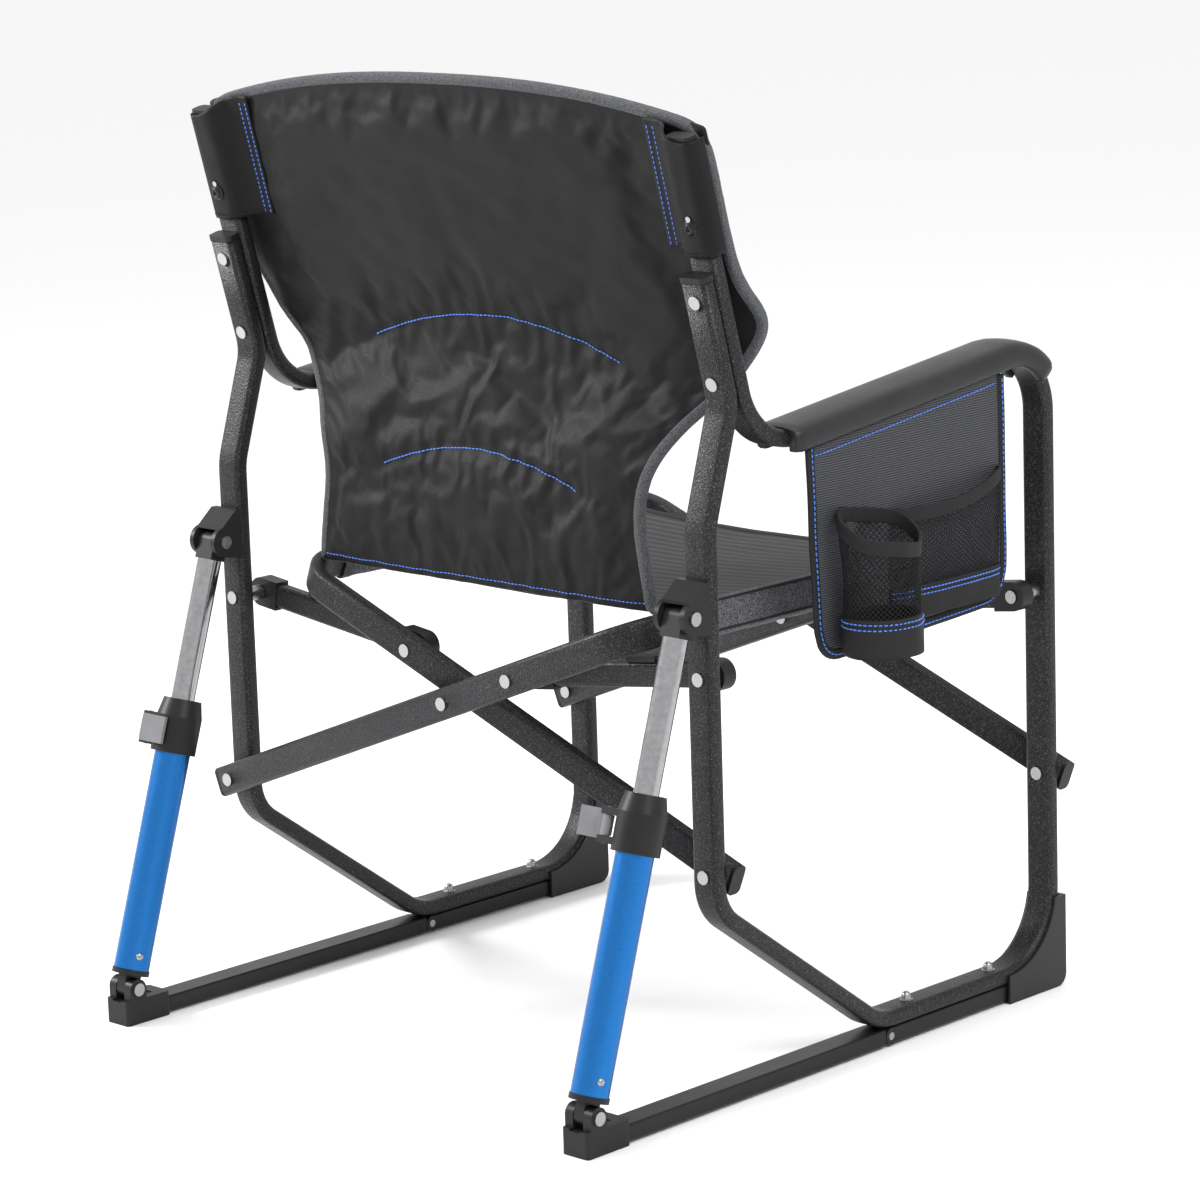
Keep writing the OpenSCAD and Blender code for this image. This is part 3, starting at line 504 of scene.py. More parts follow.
CAD_MATERIAL = {
    "base_rail": M_RAIL, "front_rail": M_RAIL, "rear_foot": M_BLACK, "front_shoe": M_GREY, "foot_pin": M_ZINC,
    "tube_plugs": M_BLACK, "armrest": M_GREY, "strut_bracket": M_BLACK, "frame_pins": M_ZINC,
    "frame_fasteners": M_ZINC, "back_sleeve": M_CLOTH, "side_frame": M_TUBE, "seat_frame": M_TUBE,
    "seat_plugs": M_BLACK, "seat_rivets": M_ZINC, "rail_sleeve": M_SLEEVE, "seat_sheet": M_SEAT,
    "back_panel": M_CLOTH, "stay_ends": M_BLACK, "stay": M_TUBE, "strut_cylinder": M_BLUE,
    "strut_collar": M_BLACK, "strut_fitting": M_BLACK, "strut_spring": M_SPRING, "strut_rod": M_CHROME,
    "rod_eye": M_BLACK, "lock_lever": M_LEVER, "pocket_panel": M_POCKET, "cup_pocket": M_POCKET,
    "flat_pocket": M_POCKET,
}
BEVELLED = ("base_rail", "front_rail", "rear_foot", "front_shoe", "strut_bracket", "stay_ends", "strut_collar",
            "rod_eye", "lock_lever", "tube_plugs", "seat_plugs", "strut_fitting")
for name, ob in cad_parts.items():
    key = max((k for k in CAD_MATERIAL if name.startswith(k)), key=len)
    ob.data.materials.clear()
    ob.data.materials.append(CAD_MATERIAL[key])
    if key in BEVELLED:
        bev = ob.modifiers.new("edge", "BEVEL")
        bev.width = 0.0007
        bev.segments = 2
        bev.limit_method = "ANGLE"
        bev.angle_limit = math.radians(35)

# ---------------------------------------------------------------- tubes
def bend_path(pts, radii, step=4.0):
    """Polyline, in millimetres, through pts with its corners rounded to radii."""
    out = [Vector(pts[0])]
    for i in range(1, len(pts) - 1):
        a, b, c = (Vector(pts[i + k]) for k in (-1, 0, 1))
        d1, d2 = (b - a).normalized(), (c - b).normalized()
        cr = d1.x * d2.y - d1.y * d2.x
        turn = math.atan2(cr, d1.dot(d2))
        side = 1 if turn > 0 else -1
        trim = radii[i] * math.tan(abs(turn) / 2)
        s = b - d1 * trim
        n = Vector((-d1.y, d1.x)) * side
        centre = s + n * radii[i]
        k = max(4, int(abs(math.degrees(turn)) / step))
        for j in range(k + 1):
            ang = turn * j / k
            v = -n * radii[i]
            out.append(centre + Matrix.Rotation(ang, 2) @ v)
    out.append(Vector(pts[-1]))
    return out


def side_loop(side):
    kink_y = upright_y(KINK_Z) + (TT + 0.5) / math.cos(LEAN)
    path = [(upright_y(UPRIGHT_TOP_Z), UPRIGHT_TOP_Z), (upright_y(ARM_REAR_Z), ARM_REAR_Z),
            (FRONT_Y, ARM_FRONT_Z), (FRONT_Y, RUN_Z), (RUN_END_Y, RUN_Z),
            (LEG_Y, SLOPE_TOP_Z), (LEG_Y, 500), (kink_y, KINK_Z),
            (kink_y + LEG_TOP * math.tan(LEAN), KINK_Z + LEG_TOP)]
    pts = [P(SIDE_X * side, p.x, p.y) for p in bend_path(path, SIDE_BENDS)]
    ring = round_rect(TT / 1000, TW / 1000, TR / 1000)
    return sweep("loop_tube_" + ("left" if side > 0 else "right"), pts, ring, M_TUBE, up=Vector((1, 0, 0)))


def seat_loop(a_side):
    sgn = -1 if a_side else 1
    ry = 160.5 if a_side else 125.5
    fy = -290.5 if a_side else -325.5
    low = -(ARM_LEN + 12)
    path = bend_path([(low, ry), (RAIL_REACH, ry), (RAIL_REACH, fy), (low, fy)], [0, 40, 40, 0])
    c, s = math.cos(ARM_SLOPE), math.sin(ARM_SLOPE)
    pts = [P(sgn * p.x * c, p.y, CROSS_Z + p.x * s) for p in path]
    ring = round_rect(TT / 1000, TW / 1000, TR / 1000)
    return sweep("seat_tube_" + ("a" if a_side else "b"), pts, ring, M_TUBE, up=Vector((-sgn * s, 0, c)))


for side, name in ((1, "left"), (-1, "right")):
    t = side_loop(side)
    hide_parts("side_frame_" + name)
    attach(t, name + "_frame")
for a_side, name in ((True, "a"), (False, "b")):
    t = seat_loop(a_side)
    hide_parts("seat_frame_" + name)
    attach(t, "seat_" + name)

# ---------------------------------------------------------------- soft part helpers
NV = Vector((0, -math.cos(LEAN), math.sin(LEAN)))  # out of the uprights' plane, towards the sitter
UP = Vector((0, 0, 1))
PAD_LOW = 408
LEFT_EDGE = ((408, 212), (440, 208), (490, 199), (520, 202), (560, 214), (590, 236), (615, 258), (640, 279),
             (665, 296), (690, 304), (735, 306), (800, 307), (828, 306))
RIGHT_EDGE = ((408, 207), (440, 201), (480, 194), (510, 197), (545, 214), (575, 242), (600, 270), (615, 286),
              (632, 300), (650, 309), (680, 310), (735, 307), (800, 307), (828, 306))


def lookup(table, z):
    z = min(max(z, table[0][0]), table[-1][0])
    for (a, p), (b, q) in zip(table[:-1], table[1:]):
        if z <= b:
            return p + (q - p) * (z - a) / (b - a)
    return table[-1][1]


def half_w(side, z):
    t = LEFT_EDGE if side > 0 else RIGHT_EDGE
    return sum(lookup(t, z + k) for k in (-12, -6, 0, 6, 12)) / 5


def top_z(x):
    return 861 - 33 * abs(x / 306) ** 2.4


def smooth01(t):
    t = min(max(t, 0.0), 1.0)
    return t * t * (3 - 2 * t)


def nz(x, y, z=0.0):
    return noise.noise(Vector((x, y, z)))


def arc_top(x):
    return 649 - 30 * ((x + 5) / 155) ** 2


def arc_low(x):
    return 532 - 25 * (x / 123) ** 2


ARCS = ((arc_top, -5, 155), (arc_low, 0, 123))  # the two stitched arcs: height, middle and half width


def curl(x, z):
    """How far the pad's side wings curl forward."""
    right_w = 22 * smooth01((-x - 262) / 48) * math.exp(-((z - 652) / 34) ** 2)
    left_w = 8 * smooth01((x - 262) / 48) * math.exp(-((z - 650) / 30) ** 2)
    return right_w + left_w


def back_n(x, z, face):
    """Height of the pad's front (1), rear (-1) or middle (0) above the uprights' centre plane, in mm."""
    d = max(min(half_w(1, z) - x, x + half_w(-1, z), top_z(x) - z), 0)
    e = (1 - math.exp(-d / 20)) * (1 - 0.6 * math.exp(-max(z - PAD_LOW, 0) / 12))
    mid = 17.1 + curl(x, z)
    if face == 0:
        return mid
    free = 1 - smooth01((abs(x) - 262) / 20) * smooth01((z - 600) / 40)
    seam, pucker = 0.0, 0.0
    for f, c, w in ARCS:
        k = smooth01((w + 6 - abs(x - c)) / 14)
        dz = z - f(x)
        seam += k * math.exp(-(dz / 5.5) ** 2)
        pucker += k * math.exp(-abs(dz) / 13) * math.sin(x / 3.6 + 2.5 * nz(x / 30, z / 30, face)) * 0.9
    low = smooth01((660 - z) / 60)
    rumple = 2.4 * nz(x / 90 + 3, z / 46, 2 + face)
    rumple += 1.8 * nz((x + 1.3 * z) / 42, (z - 0.4 * x) / 21, 5 + face)
    crease = nz((x + 0.5 * z) / 58, (z - 0.7 * x) / 75, 12 + face)
    rumple += 1.5 * low * smooth01(1 - abs(crease) * 4.5)
    drape = nz(x / 19, z / 120, 15 + face)
    rumple += 1.9 * drape * smooth01((505 - z) / 40)
    pull = 2.4 * nz((abs(x) - 1.25 * z) / 19, (abs(x) + z) / 120, 9 + face)
    pull *= smooth01((abs(x) - 110) / 90) * low
    h = 3 + 4.6 * e - 2.6 * seam
    return mid + face * (h + e * free * (rumple * 0.85 + pull * 0.9 + pucker * 1.1))


def hang(x, z):
    """How far behind the uprights' plane the pad hangs below them, in mm."""
    k = smooth01((abs(x) - 200) / 62) * smooth01((z - 560) / 50)
    mid = smooth01((652 - z) / 135)
    near = smooth01((614 - z) / 96)
    return (125 - upright_y(z)) * (mid * (1 - k) + near * k)


def on_back(x, z, n):
    return P(x, upright_y(z) + hang(x, z), z) + NV * (n / 1000)


def sheet_of(ob, thick):
    s = ob.modifiers.new("thick", "SOLIDIFY")
    s.thickness = thick
    s.offset = 0
    return apply_mods(ob)


def lathe(name, profile, at, axis, mat, n=40):
    """Turned shape: profile of (radius, height) in metres along axis."""
    axis = axis.normalized()
    s = axis.orthogonal().normalized()
    t = axis.cross(s)
    verts = [at + axis * h + (s * math.cos(2 * math.pi * k / n) + t * math.sin(2 * math.pi * k / n)) * r
             for r, h in profile for k in range(n)]
    faces = []
    for i in range(len(profile) - 1):
        for k in range(n):
            q = (k + 1) % n
            faces.append([i * n + k, i * n + q, (i + 1) * n + q, (i + 1) * n + k])
    faces.append(list(range(n)))
    faces.append([(len(profile) - 1) * n + k for k in range(n)])
    return mesh_obj(name, verts, faces, mat)


# ---------------------------------------------------------------- padded back
def stitched(x, z):
    """How firmly the pad is held at a point, from 0 to 1: at its rim, its seams and on the uprights."""
    d = min(half_w(1, z) - x, x + half_w(-1, z), top_z(x) - z, z - 404)
    hold = 1 - smooth01((d - 9) / 12)
    for f, c, w in ARCS:
        if abs(x - c) < w + 4:
            hold = max(hold, 1 - smooth01((abs(z - f(x)) - 2.5) / 7))
    hold = max(hold, smooth01((abs(x) - 230) / 12) * smooth01((z - 700) / 16))
    return max(hold, smooth01((abs(x) - 250) / 14) * smooth01((z - 590) / 30))


def puff(ob, holds, cap):
    """Settles the pad as a slightly slack, lightly stuffed cloth; no point moves more than cap metres."""
    rest = [v.co.copy() for v in ob.data.vertices]
    g = ob.vertex_groups.new(name="held")
    for i, w in enumerate(holds):
        if w > 0.02:
            g.add([i], w, "REPLACE")
    m = ob.modifiers.new("cloth", "CLOTH")
    st = m.settings
    st.quality = 5
    st.mass = 0.15
    st.tension_stiffness = st.compression_stiffness = 12
    st.shear_stiffness = 6
    st.bending_stiffness = 0.05
    st.vertex_group_mass = "held"
    st.use_pressure = True
    st.uniform_pressure_force = 1.2
    st.shrink_min = st.shrink_max = -0.020
    st.effector_weights.gravity = 0
    m.collision_settings.use_collision = False
    m.point_cache.frame_start, m.point_cache.frame_end = 1, 16
    for f in range(1, 17):
        bpy.context.scene.frame_set(f)
    apply_mods(ob)
    for v, r in zip(ob.data.vertices, rest):
        d = v.co - r
        if d.length > cap:
            v.co = r + d * (cap / d.length)
    bpy.context.scene.frame_set(1)


def back_pad():
    nu, nv = ((112, 88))
    holds = []
    verts, faces = [], []
    for face in (-1, 1):
        for j in range(nv):
            for i in range(nu):
                u, v = i / (nu - 1), j / (nv - 1)
                zs = PAD_LOW + v * 420
                x = -half_w(-1, zs) * (1 - u) + half_w(1, zs) * u
                z = PAD_LOW + v * (top_z(x) - PAD_LOW)
                verts.append(on_back(x, z, back_n(x, z, face)))
                holds.append(stitched(x, z))
    m = nu * nv
    for j in range(nv - 1):
        for i in range(nu - 1):
            q = [j * nu + i, j * nu + i + 1, (j + 1) * nu + i + 1, (j + 1) * nu + i]
            faces.append(q)
            faces.append([k + m for k in q])
    rim = [i for i in range(nu)] + [j * nu + nu - 1 for j in range(1, nv)]
    rim += [(nv - 1) * nu + i for i in range(nu - 2, -1, -1)] + [j * nu for j in range(nv - 2, 0, -1)]
    for a, b in zip(rim, rim[1:] + rim[:1]):
        faces.append([a, b, b + m, a + m])
    ob = mesh_obj("back_pad", verts, faces, M_CLOTH)
    puff(ob, holds, 0.0055)
    apply_mods(subsurf(ob, 1))
    return ob


def squash_back(ob):
    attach(ob, "left_frame")
    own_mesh(ob)


pad = back_pad()
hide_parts("back_panel")


pad_tree = BVHTree.FromPolygons([v.co for v in pad.data.vertices], [p.vertices for p in pad.data.polygons])


def onto_pad(x, z, face):
    """The point of the pad's face behind or in front of (x, z)."""
    p = on_back(x, z, back_n(x, z, face))
    n = NV * face
    hit = pad_tree.ray_cast(p + n * 0.012, -n)[0]
    return hit if hit else p


def edge_points():
    pts = [(-half_w(-1, z) + 3.4, z) for z in range(411, 812, 6)]
    pts += [(-302.6 + 5, 823), (-292, 826)]
    pts += [(x, top_z(x) - 3.4) for x in range(-284, 285, 8)]
    pts += [(292, 826), (297.6, 823)]
    pts += [(half_w(1, z) - 3.4, z) for z in range(811, 410, -6)]
    return pts


raw = resample([Vector((x, z, 0)) for x, z in edge_points()], 4.0)
TAIL = ((212, 409, 4), (219, 410, 12), (225, 412.5, 21), (229, 415.5, 30))
tails = [[on_back(s * x, z, 17.1) - Vector((0, dy / 1000, 0)) for x, z, dy in TAIL] for s in (-1, 1)]
for _ in range(2):
    raw = [raw[0]] + [(a + b * 2 + c) / 4 for a, b, c in zip(raw, raw[1:], raw[2:])] + [raw[-1]]
edge = [on_back(p.x, p.y, back_n(p.x, p.y, 0)) for p in raw]
edge = resample(tails[0][::-1] + edge + tails[1], 0.004)
edge = [edge[0]] + [(a + b * 2 + c) / 4 for a, b, c in zip(edge, edge[1:], edge[2:])] + [edge[-1]]
binding = sweep("back_binding", edge, round_rect(0.0096, 0.0102, 0.0038), M_BIND, up=NV)
for v in binding.data.vertices:
    v.co += NV * (0.0003 * nz(v.co.x * 160, v.co.z * 160))
stitches = []
for f, c, w in ARCS:
    for face in (-1, 1):
        line = [onto_pad(x, f(x), face) for x in range(c - w, c + w + 1, 3)]
        stitches.append(thread("s", line, M_THREAD, NV * face, 0.0034, 0.0011, 0.0006, 0.0001))
for face in (-1, 1):
    line = [onto_pad(x, 416.5, face) for x in range(-200, 205, 4)]
    stitches.append(thread("s", line, M_THREAD, NV * face, 0.0032, 0.0013, 0.0005, 0.0001))
back_thread = join("back_stitching", stitches)
for ob in (pad, binding, back_thread):
    squash_back(ob)

# ---------------------------------------------------------------- sleeves over the uprights
SECTION = ((246, -9.2), (256, -9.0), (266, -6.2), (273, -0.5), (278, 6.0), (284, 9.3), (294, 9.9), (304, 9.2),
           (309.2, 5.5), (310.2, -2), (309.6, -9.5))
COVER_SCREW = ((0.0075, 0), (0.0075, 0.0008), (0.0072, 0.0011), (0.0055, 0.0012), (0.0053, 0.0022),
               (0.0042, 0.0034), (0.0022, 0.0040), (0.0021, 0.0022))
curve = smooth_path([Vector((a, b, 0)) for a, b in SECTION], 5)


def back_cover(s, name):
    """The cloth sleeve over one upright's top, its three stitched rows and its screw."""
    def surf(u, v):
        p = curve[int(round(u * (len(curve) - 1)))]
        z = 727 + (109 - 13 * smooth01((p.x - 262) / 38)) * v
        dent = 5.0 * smooth01((z - 823) / 12) * smooth01((p.x - 262) / 14) * smooth01((308 - p.x) / 12)
        lift = 0.7 * nz(p.x / 14, z / 26, s * 4) * smooth01((p.x - 252) / 12) * smooth01((309 - p.x) / 8)
        return P(p.x * s, upright_y(z), z) - NV * ((p.y + lift - dent) / 1000)
    c = sheet_of(grid("back_cover_" + name, surf, len(curve), 40, M_CLOTH), 0.0013)
    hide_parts("back_sleeve_" + name)
    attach(c, name + "_frame")
    rows = []
    for dx, n in ((249, 9.8), (256, 9.6)):
        line = [on_back(dx * s, z, n) for z in range(729, 835, 4)]
        rows.append(thread("s", line, M_THREAD, -NV, 0.0032, 0.0012, 0.0006, 0.0006))
    line = []
    for q in curve[4:]:
        x, n = (q.x, -q.y - 0.9) if q.x < 306 else (q.x + 0.9, -q.y)
        line.append(on_back(x * s, 730.5, n))
    rows.append(thread("s", line, M_TRIM, -NV, 0.003, 0.0012, 0.0004, 0.0))
    st = join("cover_stitching_" + name, rows)
    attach(st, name + "_frame")
    at = P(SIDE_X * s, upright_y(752), 752) - NV * 0.0102
    sc = lathe("cover_screw_" + name, COVER_SCREW, at, -NV, M_RAIL)
    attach(sc, name + "_frame")


back_cover(1, "left")
back_cover(-1, "right")


# ---------------------------------------------------------------- armrests
ARM_REAR_Y = 46
ARM_HALF = ((14.6, -10.2), (22.0, -10.2), (25.0, -8.6), (26.0, -4.0), (26.0, 3.5), (25.0, 7.6), (22.0, 10.6),
            (16.0, 12.1), (8.0, 12.9))


def armrest(s, name):
    """A channel with a crowned top, swept along the arm and part of the way round its front bend."""
    rise = (ARM_FRONT_Z - ARM_REAR_Z) / (upright_y(ARM_REAR_Z) - FRONT_Y)
    start = (ARM_REAR_Y, ARM_FRONT_Z - (ARM_REAR_Y - FRONT_Y) * rise)
    path = bend_path([start, (FRONT_Y, ARM_FRONT_Z), (FRONT_Y, 520)], (0, SIDE_BENDS[2], 0))
    keep = []
    for i, p in enumerate(path[:-1]):
        keep.append(p)
        d = path[i + 1] - p
        if math.degrees(math.atan2(-d.y, -d.x)) > 52:
            break
    fine = resample([P(SIDE_X * s, p.x, p.y) for p in keep], 0.003)
    ring = [(a / 1000, b / 1000) for a, b in ARM_HALF] + [(0, 0.0132)]
    ring += [(-a / 1000, b / 1000) for a, b in reversed(ARM_HALF)]
    ring += [(-0.0146, 0.0079), (0.0146, 0.0079)]
    last = len(fine) - 1

    def taper(t):
        k = min(t, 1 - t) * last * 3
        return 1 - 0.10 * (1 - smooth01(k / 7))

    def arm_up(i):
        return Vector((0, math.sin(0.1), 1)) if i < last - 24 else Vector((0, -1, 0.6))
    a = sweep("arm_pad_" + name, fine, ring, M_GREY, arm_up, scale=taper)
    b = a.modifiers.new("edge", "BEVEL")
    b.width = 0.0009
    b.segments = 2
    b.limit_method = "ANGLE"
    b.angle_limit = math.radians(38)
    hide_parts("armrest_" + name)
    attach(a, name + "_frame")


armrest(1, "left")
armrest(-1, "right")


# ---------------------------------------------------------------- seat
SEAT_HALF = 219


def seat_surf(u, v):
    x = -SEAT_HALF + 2 * SEAT_HALF * u
    k = abs(x / SEAT_HALF)
    rear = 62 + 18 * k ** 5
    front = -262 + 4 * (1 - k * k)
    y = rear + (front - rear) * v
    return P(x, y, 412 - 11.5 * (1 - k * k) + 0.8 * nz(x / 60, y / 50, 3))


seat = sheet_of(grid("seat_mesh", seat_surf, 110, 80, M_SEAT), 0.0018)
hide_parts("seat_sheet")
hems = []
for v in (0.0, 1.0):
    line = [seat_surf(i / 60, v) for i in range(61)]
    hems.append(sweep("h", line, round_rect(0.012, 0.0034, 0.0014), M_TRIM, UP))
hem = join("seat_hems", hems)
for ob in (seat, hem):
    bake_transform(ob)


def rail_cover(a_side):
    """The cloth sleeve round one seat rail, with its piping and its two end bands."""
    sgn = -1 if a_side else 1
    name = "a" if a_side else "b"
    c, s = math.cos(ARM_SLOPE), math.sin(ARM_SLOPE)
    y0, y1 = (85, -250) if a_side else (75, -285)
    ring = round_rect(0.0186, 0.0316, 0.0066, 6)
    pts = [P(sgn * RAIL_REACH * c, y0 + (y1 - y0) * i / 70, CROSS_Z + RAIL_REACH * s) for i in range(71)]
    up = Vector((-sgn * s, 0, c))
    tube = sweep("rail_cover_" + name, pts, ring, M_SLEEVE, up=up, caps=False)
    for v in tube.data.vertices:
        out = (v.co - Vector((pts[0].x, v.co.y, pts[0].z))).normalized()
        v.co += out * 0.0006 * nz(v.co.y * 55, math.atan2(out.z, out.x) * 2, sgn)
    tube = sheet_of(tube, 0.0011)
    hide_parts("rail_sleeve_" + name)
    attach(tube, "seat_" + name)
    side = Vector((c, 0, s * sgn)) * sgn
    extra = []
    for k in (-1, 1):
        line = [p + side * 0.0091 + up * (0.0128 * k) for p in pts]
        extra.append(sweep("p", line, circle_ring(0.0012, 8), M_TRIM, up=up))
    for y, step in ((y0, -5), (y1, 5)):
        end = [P(sgn * RAIL_REACH * c, y + step * i, CROSS_Z + RAIL_REACH * s) for i in range(3)]
        extra.append(sweep("e", end, round_rect(0.0202, 0.0332, 0.0072, 6), M_BIND, up, caps=False))
    trim = join("rail_trim_" + name, extra)
    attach(trim, "seat_" + name)


rail_cover(True)
rail_cover(False)

# ---------------------------------------------------------------- side pocket
PX = -312.6
POCKET_REAR, POCKET_FRONT = 19, -231


def pocket_edges(y):
    """Bottom and top of the pocket's panel at y."""
    top = 551.5 + (26 - y) * 33.5 / 255
    low = 368 + (POCKET_REAR - y) * 14 / 250
    r = 26
    d = min(POCKET_REAR - y, y - POCKET_FRONT)
    if d < r:
        low += r - math.sqrt(max(r * r - (r - max(d, 0)) ** 2, 0))
    return low, top


def pocket_surf(u, v):
    y = POCKET_REAR + (POCKET_FRONT - POCKET_REAR) * u
    low, top = pocket_edges(y)
    z = low + (top - low) * v
    x = PX - 1.0 * nz(y / 60, z / 50, 1) - 1.5 * math.sin(math.pi * v) * nz(y / 90, 0.3, 7)
    return P(x, y + 6 * v * (1 - u), z)


panel = sheet_of(grid("pocket_back", pocket_surf, 90, 76, M_POCKET), 0.0016)
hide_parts("pocket_panel")
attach(panel, "right_frame")
OUT = Vector((-1, 0, 0))
run = [pocket_surf(0, 1 - i / 30) for i in range(31)] + [pocket_surf(i / 60, 0) for i in range(1, 61)]
run += [pocket_surf(1, i / 30) for i in range(1, 31)]
run = resample(run, 0.004)
pocket_bind = sweep("pocket_binding", run, round_rect(0.0092, 0.0042, 0.0018), M_TRIM, OUT)
top_row = [pocket_surf(0.02 + i / 62, 0.955) + OUT * 0.0009 for i in range(60)]
edge_rows = [thread("z", run, M_THREAD, OUT, 0.0036, 0.0014, 0.0006, 0.0022),
             thread("z", top_row, M_THREAD, OUT, 0.0034, 0.0012, 0.0006, 0.0002)]


def net(name, fn, nu, nv, mat, thick=0.0011):
    """Open diamond net over fn(u, v)."""
    verts, faces, idx = [], [], {}

    def vert(i, j):
        if (i, j) not in idx:
            idx[(i, j)] = len(verts)
            verts.append(fn(i / nu, j / nv))
        return idx[(i, j)]
    for i in range(nu + 1):
        for j in range(nv + 1):
            if (i + j) % 2 == 1 and 0 < i < nu and 0 < j < nv:
                faces.append([vert(i - 1, j), vert(i, j - 1), vert(i + 1, j), vert(i, j + 1)])
    ob = mesh_obj(name, verts, faces, mat)
    w = ob.modifiers.new("net", "WIREFRAME")
    w.thickness = thick
    w.use_even_offset = False
    return apply_mods(ob)


blo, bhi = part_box("cup_pocket")
CUP_LOW = blo.z * 1000
CUP_TOP = bhi.z * 1000
CUP_X, CUP_Y, CUP_R = -352.6, -26.0, 39.0


def cup_rim(a):
    return CUP_TOP - 6 - 24 * smooth01(0.5 - 0.5 * math.cos(a)) + 2.5 * math.sin(a) + 1.5 * math.sin(3 * a)


def cup_at(a, z, dr=0.0):
    """A point of the empty cup's wall, which hangs a little flattened towards the panel."""
    k = smooth01((z - CUP_LOW) / (CUP_TOP - CUP_LOW))
    r = CUP_R - 2.5 + 2.5 * k - 1.8 * math.sin(math.pi * k) + dr
    r += 1.6 * nz(math.cos(a) * 2, math.sin(a) * 2, z / 18)
    flat = 0.80 + 0.06 * (1 - k)
    return P(CUP_X + 39 * (1 - flat) + flat * r * math.cos(a), CUP_Y + r * math.sin(a), z)


def cup_out(p):
    """Straight out of the cup at p."""
    d = p - P(CUP_X, CUP_Y, 0)
    return Vector((d.x, d.y, 0))


CUP_FOOT = CUP_LOW + 34
TURN = 2 * math.pi


def net_wall(u, v):
    """A point of the cup's net, which runs from inside the foot's top to inside the rim's band."""
    low, high = CUP_FOOT - 2, cup_rim(TURN * u)
    return cup_at(TURN * u, low + (high - low) * v)


cup_net = net("cup_net", net_wall, 84, 26, M_NET)
foot = grid("f", lambda u, v: cup_at(TURN * u, CUP_LOW + 34 * v, 0.4), 96, 12, M_TRIM, wrap=True)
base = grid("f", lambda u, v: cup_at(TURN * u, CUP_LOW + 1.2 * v, 36 * v - 36.2), 96, 6, M_TRIM, wrap=True)
foot = sheet_of(foot, 0.0016)
cup_foot = join("cup_foot", [foot, base])
around = [TURN * i / 120 for i in range(121)]
rim_line = [cup_at(a, cup_rim(a) + 4, 0.3) for a in around]
band = sweep("cup_band", rim_line, round_rect(0.0030, 0.0130, 0.0013), M_TRIM, UP)
rows = []
for z in (CUP_FOOT - 4, CUP_FOOT - 8.5):
    line = [cup_at(a, z, 1.3) for a in around]
    rows.append(thread("c", line, M_THREAD, cup_out, 0.0032, 0.0013, 0.0006, 0.0))
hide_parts("cup_pocket")

flo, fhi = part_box("flat_pocket")
FY0, FY1 = (flo.y - SY) * 1000, (fhi.y - SY) * 1000
FZ0, FZ1 = flo.z * 1000, fhi.z * 1000


def flat_at(u, z, dr=0.0):
    y = FY1 - 2 + (FY0 - FY1 + 4) * u
    k = (z - FZ0) / (FZ1 - FZ0)
    belly = (math.sin(math.pi * u) ** 0.45 if 0 < u < 1 else 0.0) * (7 + 8 * smooth01(k * 1.4))
    return P(PX - 1.2 - belly - dr - 0.8 * nz(y / 20, z / 20, 2), y, z)


def flat_top(u):
    return FZ1 - 20 + 17 * u - 7 * math.sin(math.pi * u)


flat_net = net("flat_net", lambda u, v: flat_at(u, FZ0 + 28 + (flat_top(u) - FZ0 - 28) * v), 48, 30, M_NET)
flat_foot = sheet_of(grid("flat_foot", lambda u, v: flat_at(u, FZ0 + 1 + 29 * v, 0.4), 60, 12, M_TRIM), 0.0016)
along_flat = [i / 60 for i in range(61)]
rim_line = [flat_at(u, flat_top(u) + 3, 0.4) for u in along_flat]
flat_band = sweep("flat_band", rim_line, round_rect(0.0030, 0.0125, 0.0013), M_TRIM, UP)
for z in (FZ0 + 26, FZ0 + 21.5):
    line = [flat_at(u, z, 1.4) for u in along_flat]
    rows.append(thread("c", line, M_THREAD, OUT, 0.0032, 0.0013, 0.0006, 0.0))
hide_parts("flat_pocket")
pocket_thread = join("pocket_stitching", rows + edge_rows)
for ob in (cup_net, cup_foot, band, flat_net, flat_foot, flat_band, pocket_thread, pocket_bind):
    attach(ob, "right_frame")

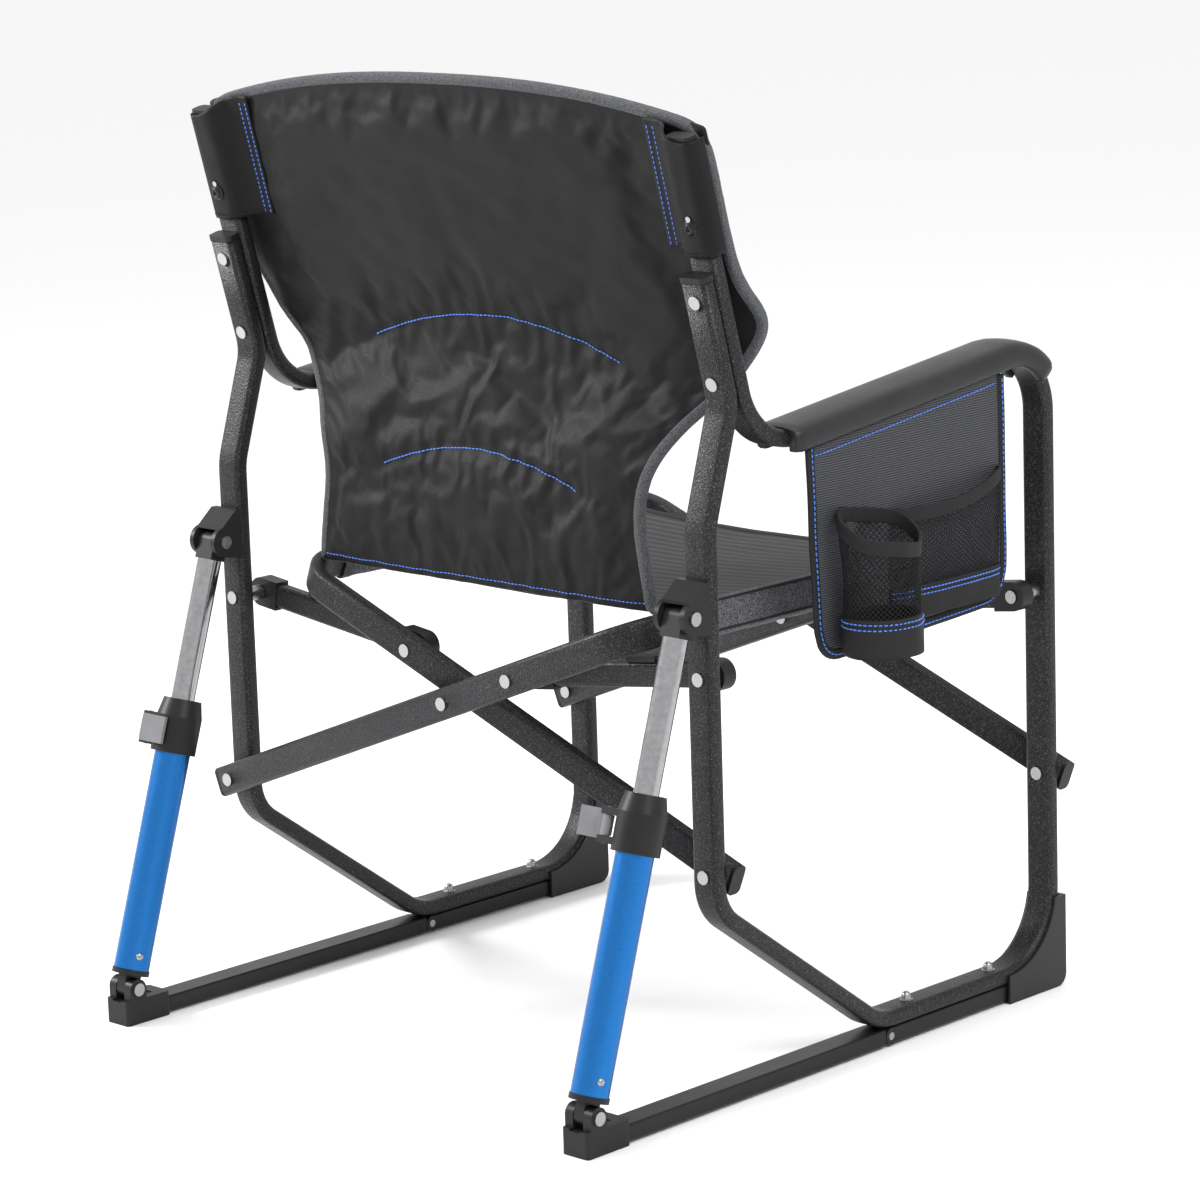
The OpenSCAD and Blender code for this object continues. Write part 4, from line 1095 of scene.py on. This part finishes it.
# ---------------------------------------------------------------- the small screw low on each cylinder
STRUT_LEAN = math.radians(18.11)
STRUT_SCREW = ((0.0034, 0), (0.0034, 0.0006), (0.0030, 0.0013), (0.0019, 0.0019), (0.0011, 0.0020),
               (0.0010, 0.0008))
for s, name in ((1, "left"), (-1, "right")):
    along = Vector((0, -math.sin(STRUT_LEAN), math.cos(STRUT_LEAN)))
    out = Vector((-0.93, 0.37 * math.cos(STRUT_LEAN), 0.37 * math.sin(STRUT_LEAN)))
    at = P(SIDE_X * s, 301, 32.5) + along * 0.030 + out * 0.0162
    screw = lathe("strut_screw_" + name, STRUT_SCREW, at, out, M_ZINC, 28)
    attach(screw, "strut_" + name)

# ---------------------------------------------------------------- stage
bpy.ops.mesh.primitive_plane_add(size=60, location=(0, 0, -0.0005))
floor = bpy.context.object
floor.name = "floor"
fm, fnt, fb = new_mat("pale_floor", (0.92, 0.92, 0.92), 0.9)
floor.data.materials.append(fm)

world = bpy.data.worlds.new("studio")
bpy.context.scene.world = world
world.use_nodes = True
world.node_tree.nodes["Background"].inputs["Color"].default_value = (1, 1, 1, 1)
world.node_tree.nodes["Background"].inputs["Strength"].default_value = 1.0


def area_light(name, loc, target, size, power):
    d = bpy.data.lights.new(name, "AREA")
    d.size = size
    d.energy = power
    o = bpy.data.objects.new(name, d)
    bpy.context.scene.collection.objects.link(o)
    o.location = loc
    o.rotation_euler = (Vector(target) - Vector(loc)).to_track_quat("-Z", "Y").to_euler()
    return o


area_light("key", (-2.6, 0.6, 2.6), (0, 0, 0.4), 1.2, 55)
area_light("rear", (2.3, 1.5, 1.7), (0, 0, 0.5), 0.7, 75)
area_light("top", (0.0, 0.0, 3.2), (0, 0, 0.3), 2.0, 30)

az, el, roll = math.radians(224.36), math.radians(11.6), math.radians(-1.86)
fwd = Vector((-math.sin(az) * math.cos(el), math.cos(az) * math.cos(el), -math.sin(el)))
right = fwd.cross(Vector((0, 0, 1))).normalized()
upv = right.cross(fwd)
r2 = right * math.cos(roll) + upv * math.sin(roll)
u2 = upv * math.cos(roll) - right * math.sin(roll)
cam_data = bpy.data.cameras.new("camera")
cam = bpy.data.objects.new("camera", cam_data)
bpy.context.scene.collection.objects.link(cam)
cam_data.sensor_width = 36
cam_data.lens = 126.1
cam_data.clip_end = 100
rot = Matrix((r2, u2, -fwd)).transposed()
cam.matrix_world = Matrix.Translation(P(-2626.5, 2649.7, 1145.0)) @ rot.to_4x4()
bpy.context.scene.camera = cam
bpy.context.scene.view_settings.view_transform = "Standard"
